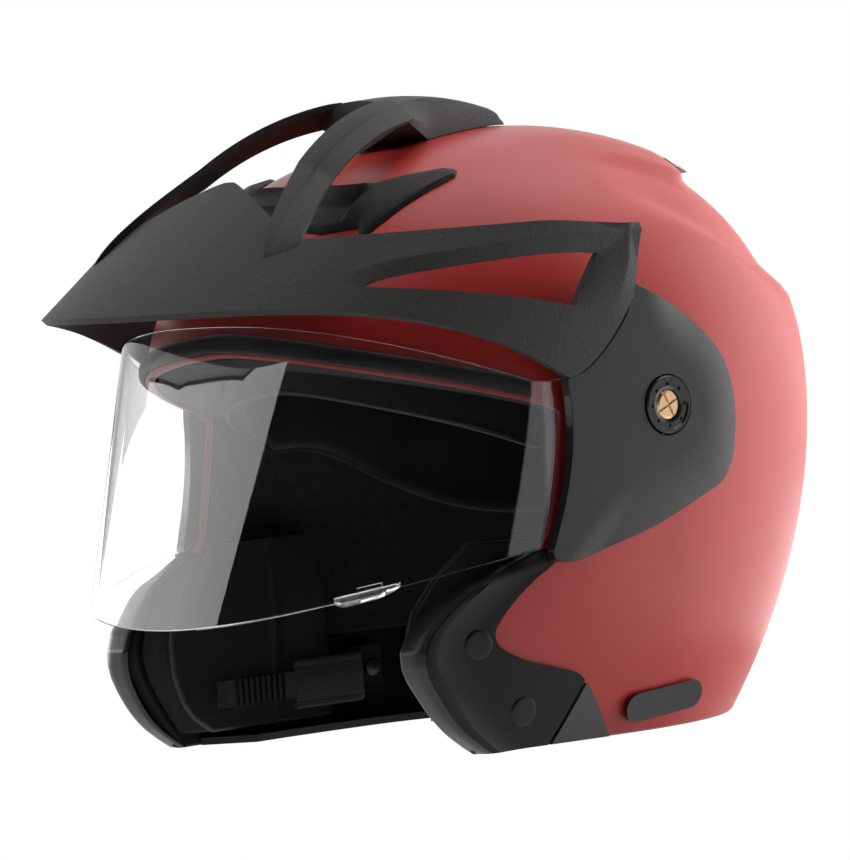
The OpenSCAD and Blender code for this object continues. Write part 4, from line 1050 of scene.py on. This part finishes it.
def guard_proud(u, z):
    nose = mix(HORN_T, NOSE_T, guard_full(z))
    body = mix(HORN_T, GUARD_T, guard_full(z))
    behind = u * (guard_back(z) - guard_front(z) - NOSE_DEPTH)
    return GUARD_SEAT + mix(body, nose, np.maximum(0, 1 - behind / NOSE_ROLL) ** 1.6)


nose_outer = spline([[1.6, GUARD_WRAP], [0.2, GUARD_WRAP - 1.4], [0, 0.5], [0.4, -4.5], [2.6, -NOSE_T]], 5)
nose_inner = spline([[2.6, GUARD_WRAP], [2.6, 2.4], [2.6, 0.1], [2.6, -GUARD_SEAT], [3.4, -GUARD_SEAT]], 5)
guard = solid(guard_grid(nose_outer, guard_proud), guard_grid(nose_inner, lambda u, z: GUARD_SEAT))


def insert_grid(proud):
    u = np.linspace(0, 1, 16)
    v = u[:, None]
    z = mix(INSERT_TOP, INSERT_LOW, v)
    ahead = table(z, GUARD_LINE) + GROOVE_W / 2
    return side_pt(mix(ahead, mix(INSERT_TOP_BACK, INSERT_LOW_BACK, v), u), z, -proud)


def rivet_cap(y, z):
    """Low round cap that follows the guard's surface, from rings of radius and share of its height."""
    r, rise = np.array(RIVET_RINGS).T[..., None]
    turn = around(48)
    ry, rz = y + r * cos(turn), z + r * sin(turn)
    start = guard_front(rz) + NOSE_DEPTH
    proud = guard_proud((ry - start) / (guard_back(rz) - start), rz)
    top, bed = (side_pt(ry, rz, -proud - lift) for lift in (RIVET_H * rise, RIVET_BED))
    return solid(top, bed, wrap=True, pole=[top[0].mean(0), bed[0].mean(0)])


def under_guard(c, n):
    """Shell faces that only show in the groove between guard and insert, or below the guard's nose; made
    near-black there as painted shade of the recess.
    """
    below = INSERT_TOP - c[2]
    return below > -0.5 and c[1] < mix(DARK_TOP_BACK, DARK_LOW_BACK, below / DARK_H)


def on_nose(c, n):
    return n[1] < NOSE_TILT and c[1] < guard_front(c[2]) + NOSE_EDGE


# painted shade: the red shell goes near-black where it shows in the groove between guard and insert and
# under the guard
paint_faces(shell, under_guard)
insert = solid(insert_grid(GUARD_T + SEAT), insert_grid(SEAT))
rivets = joined([rivet_cap(y, z) for y, z in RIVET_PLACES])
for side in SIDES:
    obj = piece("cheek_guard_" + side, on_side(guard, side), [GUARD_BLACK, NOSE_GLOSS],
                "cheek_cover_" + side, bevel=0.6, sharp=38)
    paint_faces(obj, on_nose)
    piece("guard_insert_" + side, on_side(insert, side), INSERT_BLACK,
          "cheek_insert_" + side, bevel=0.5, sharp=38)
    piece("guard_rivets_" + side, on_side(rivets, side), CAP_BLACK,
          "cheek_rivets_" + side, sharp=60)


# Vents

HOOD_H, FIN_H, LIP_H, FLOOR_H, VENT_BED = 6.5, 4.5, 2.2, 0.7, 0.5
EXHAUST_HALF_W, EXHAUST_LONG, EXHAUST_BACK, EXHAUST_H = 44.0, 11.0, 5.0, [0.4, 1.6, 2.4, 2.8, 2.2]
VENT_FRONT = np.array([
    [0, -97], [33, -95], [44, -90], [48, -88], [52.5, -91.5], [56, -80], [58.5, -66], [60, -51]])
VENT_BACK = np.array([
    [0, -79], [28, -77], [39, -73], [45.5, -64.5], [51, -54], [55, -44], [57.5, -42.5], [60, -46]])
VENT_ROWS = [0, 0.06, 0.18, 0.3, 0.42, 0.46, 0.56, 0.66, 0.7, 0.78, 0.85, 0.92, 1]
MOUTH = [0.4] + [LIP_H] * 4 + [FLOOR_H] * 3 + [HOOD_H * k for k in (0.9, 1, 0.85, 0.6, 0.08)]
FIN = [FIN_H * k for k in (0.1, 0.7, 0.9, 1, 1, 1, 1, 1, 1, 1, 0.95, 0.8, 0.1)]
VENT_XS = [0, 12, 24, 33, 39.5, 42, 45.5, 48.5, 52, 54.5, 56.5, 58.5, 59.7]


def vent_grid(proud):
    """Intake from front to back edge: a hooded mouth in the middle and a fin at each side."""
    xs = fine(VENT_XS, 4)
    xs = np.concatenate([-xs[:0:-1], xs])
    a = np.abs(xs)
    share, mouth, fin = (fine(row, 3)[::-1, None] for row in (VENT_ROWS, MOUTH, FIN))
    y = mix(table(a, VENT_FRONT), table(a, VENT_BACK), share)
    h = mix(mouth, fin * mix(1, 0.45, smooth((a - 44) / 16)), smooth((a - 39.7) / 2))
    return points(xs, y, dome_z(xs, y) + VENT_BED + proud * h)


piece("forehead_intake", solid(vent_grid(1), vent_grid(0)), VENT_BLACK, "front_vent",
      bevel=0.25, sharp=35, segments=2)


def exhaust_grid(proud):
    u, j = np.linspace(-1, 1, 65), np.linspace(4, 0, 17)[:, None]
    x = u * EXHAUST_HALF_W
    y = BAND_END - BAND_CURVE * x * x - EXHAUST_LONG * (1 - j / 4) + EXHAUST_BACK
    h = np.interp(j, range(5), EXHAUST_H) * np.sqrt(1.06 - np.abs(u) ** 4)
    return points(x, y, dome_z(x, y) + VENT_BED + proud * h)


piece("crown_exhaust", solid(exhaust_grid(1), exhaust_grid(0)), VENT_GREY, "rear_vent",
      bevel=0.4, sharp=35)


# Chin strap webbing

STRAP_LOW, STRAP_BEND, STRAP_FROM, STRAP_TO = -118.0, 14.0, -46.0, 25.0
STRAP_SECTION = [
    (0.0, 0.5), (0.0, 19.5), (0.5, 20), (1.5, 20), (2.0, 19.5), (2.0, 17.6), (1.75, 17.1), (2.0, 16.6),
    (2.0, 3.4), (1.75, 2.9), (2.0, 2.4), (2.0, 0.5), (1.5, 0), (0.5, 0)]


def strap_x(y):
    """The strap lies on the cheek pad ahead of its bend and on the shell's inside behind it."""
    root = shell_x(max(y, STRAP_BEND), STRAP_LOW, SHELL_T + 0.5)
    return mix(CHEEK_PAD_IN - SEAT - 0.5, root, smooth((y + STRAP_BEND) / (2 * STRAP_BEND)))


def strap_part():
    rings = []
    ahead, bend = np.linspace(STRAP_FROM, -STRAP_BEND, 20), np.linspace(-STRAP_BEND, STRAP_BEND, 40)
    for y in np.concatenate([ahead, bend[1:], np.linspace(STRAP_BEND, STRAP_TO, 9)[1:]]):
        slope = (strap_x(y + 0.1) - strap_x(y - 0.1)) / 0.2
        n = np.array([-1, slope]) / math.hypot(1, slope)
        rings.append([[strap_x(y) + n[0] * depth, y + n[1] * depth, STRAP_LOW + high]
                      for depth, high in STRAP_SECTION])
    return loft(rings)


strap = strap_part()
for side in SIDES:
    piece("chin_strap_" + side, on_side(strap, side), WEBBING, "strap_" + side, sharp=60)


# CAD nodes that keep their own shape

KEPT = [
    (TRIM_BLACK, "base_trim"), (RING_GLOSS, "pivot_ring_left", "pivot_ring_right"),
    (BRASS, "pivot_screw_left", "pivot_screw_right"), (PLATE_GREY, "base_plate_left", "base_plate_right"),
    (STEEL, "base_plate_screws", "buckle_pin"), (BADGE_GLOSS, "badge_left", "badge_right"),
    (RIVET_GLOSS, "strap_rivets"), (BUCKLE_BLACK, "strap_tongue", "buckle_body"),
    (LEVER_RED, "buckle_lever"),
]
for material, *names in KEPT:
    for name in names:
        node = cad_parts[name]
        node.data.materials.clear()
        node.data.materials.append(material)


# Camera at the photograph's angle

AZIMUTH, ELEVATION, ROLL = 50.0, 2.383, 4.392
DISTANCE, FOCAL_PX, SHIFT_X, SHIFT_Y, PHOTO_W, PHOTO_H = 3200.0, 7840.0, -15.681, -7.911, 850, 860


def towards(turn, rise):
    """Direction at a turn left of straight ahead and a rise, in degrees."""
    return np.array([sin(turn) * cos(rise), -cos(turn) * cos(rise), sin(rise)])


def placed(x, y, z, at):
    """Matrix of an object at a point with the given axes."""
    return Matrix([[x[k], y[k], z[k], at[k]] for k in range(3)] + [[0, 0, 0, 1]])


back = towards(AZIMUTH, ELEVATION)
flat_right = np.array([cos(AZIMUTH), sin(AZIMUTH), 0])
flat_up = np.cross(back, flat_right)
right = cos(ROLL) * flat_right - sin(ROLL) * flat_up
up = sin(ROLL) * flat_right + cos(ROLL) * flat_up
eye = to_part(back * DISTANCE + right * SHIFT_X + up * SHIFT_Y)
lens = bpy.data.cameras.new("photo_camera")
camera = added("photo_camera", lens)
camera.matrix_world = placed(right, up, back, eye)
lens.sensor_width = 36.0
lens.lens = FOCAL_PX / max(PHOTO_W, PHOTO_H) * lens.sensor_width
lens.clip_start, lens.clip_end = 0.05, 60.0
scene.camera = camera


# Studio: white floor and surround, soft lights, and white cards that only show in reflections

def glowing(tree, kind, strength, colour=(1, 1, 1)):
    n = tree.nodes.new(kind)
    n.inputs["Color"].default_value = (*colour, 1)
    n.inputs["Strength"].default_value = strength
    return n.outputs[0]


def show_white(tree, output, kind, lit, in_mirrors):
    """White for the camera, also through the shield; a glow in mirrors, and lit for all other rays."""
    ray = tree.nodes.new("ShaderNodeLightPath").outputs
    less = {"operation": "SUBTRACT"}
    through = wired(tree, "ShaderNodeMath", ray["Is Transmission Ray"], ray["Diffuse Depth"], **less)
    through = wired(tree, "ShaderNodeMath", through, ray["Glossy Depth"], use_clamp=True, **less)
    direct = wired(tree, "ShaderNodeMath", ray["Is Camera Ray"], through, operation="MAXIMUM")
    other = wired(tree, "ShaderNodeMixShader", ray["Is Glossy Ray"], lit, glowing(tree, kind, in_mirrors))
    seen = wired(tree, "ShaderNodeMixShader", direct, other, glowing(tree, kind, 1.0))
    tree.links.new(seen, tree.nodes[output].inputs["Surface"])


def flat_board(name, corners):
    mesh = bpy.data.meshes.new(name)
    mesh.from_pydata([tuple(c) for c in corners], [], [tuple(range(len(corners)))])
    return added(name, mesh)


SURROUND, SURROUND_MIRRORED, FLOOR_MIRRORED = 0.12, 0.004, 0.9
FLOOR_HALF, FLOOR_Z, CARD_Z, CARD_AWAY = 6.0, -0.0005, 0.0002, 1.6
MIDDLE = np.array([0.0, 0.0, 0.14])
world = bpy.data.worlds.new("studio")
scene.world = world
world.use_nodes = True
sky = world.node_tree
show_white(sky, "World Output", "ShaderNodeBackground",
           glowing(sky, "ShaderNodeBackground", SURROUND, (0.96, 0.98, 1.0)), SURROUND_MIRRORED)

floor = flat_board("floor", [(x * FLOOR_HALF, y * FLOOR_HALF, FLOOR_Z)
                             for x, y in ((-1, -1), (1, -1), (1, 1), (-1, 1))])
paint = Nodes("pale_floor")
paint.set(Base_Color=(*grey(0.7), 1), Roughness=0.9)
show_white(paint.tree, "Material Output", "ShaderNodeEmission", paint.bsdf.outputs[0], FLOOR_MIRRORED)
floor.data.materials.append(paint.material)


def lamp(name, across, nearer, height, size, power, reflected=True):
    """A soft light aimed at the helmet, so many metres to the picture's right, nearer and higher."""
    data = bpy.data.lights.new(name, "AREA")
    data.shape = "RECTANGLE"
    data.size, data.size_y = size
    data.energy = power
    place = MIDDLE + right * across + back * nearer + [0, 0, height]
    z = unit(place - MIDDLE)
    x = unit(np.cross([0, 0, 1.0], z))
    obj = added(name, data)
    obj.matrix_world = placed(x, np.cross(z, x), z, place)
    obj.visible_camera = False
    obj.visible_glossy = reflected


def card(name, corners, glow):
    """A white card that only shows in reflections."""
    obj = flat_board(name, corners)
    board = Nodes(name)
    board.set(Base_Color=(0, 0, 0, 1), Emission_Color=(1, 1, 1, 1), Emission_Strength=glow)
    obj.data.materials.append(board.material)
    obj.visible_camera = obj.visible_diffuse = obj.visible_transmission = obj.visible_shadow = False


def panel(name, turns, glow):
    """A standing card; its corners are turns left of straight ahead and rises, in degrees."""
    card(name, [MIDDLE + CARD_AWAY * towards(turn, rise) for turn, rise in turns], glow)


def floor_panel(name, turns, glow):
    """A card that lies on the floor; its corners are turns left of straight ahead and distances."""
    card(name, [(r * sin(a), -r * cos(a), CARD_Z) for a, r in turns], glow)


lamp("rim_softbox", 1.1, -0.75, 0.45, (1.8, 1.7), 11)
lamp("side_key", 1.1, -0.75, 0.55, (1.4, 1.2), 24, reflected=False)
lamp("side_fill", 1.0, 0.1, 0.15, (0.9, 0.5), 1.8, reflected=False)
lamp("low_strip", 0.9, -0.5, -0.03, (1.3, 0.2), 11, reflected=False)
lamp("top_softbox", 0.3, -0.3, 1.3, (1.2, 1.2), 8)
lamp("front_fill", -0.65, 0.45, 1.1, (1.0, 1.0), 10, reflected=False)
panel("front_card", [
    (-11, 22.3), (-15.2, 20.9), (-19.3, 19.2), (-24.3, 17.2), (-29.9, 14.8), (-34, 9), (-60, 2), (-90, -6),
    (-112, -8), (-112, 4), (-78, 10), (-54, 15.6), (-34, 19.5)], 4.2)
panel("upper_card", [
    (-11, 22.4), (-34, 19.6), (-54, 15.7), (-78, 10.1), (-112, 4.1), (-112, 40), (-11, 40)], 0.8)
panel("back_card", [
    (150, 0), (190, 0), (230, 0), (270, 0), (290, 0), (290, 40), (260, 55), (230, 60), (190, 55),
    (150, 40)], 1.0)
floor_panel("floor_card", [
    (115, 0.2), (150, 0.2), (190, 0.24), (235, 0.24), (235, 0.9), (190, 0.9), (150, 0.9), (115, 0.9)], 2.0)
panel("end_card", [(109, -10), (119, -12), (119, 6), (109, 9)], 1.8)

scene.view_settings.view_transform = "Standard"
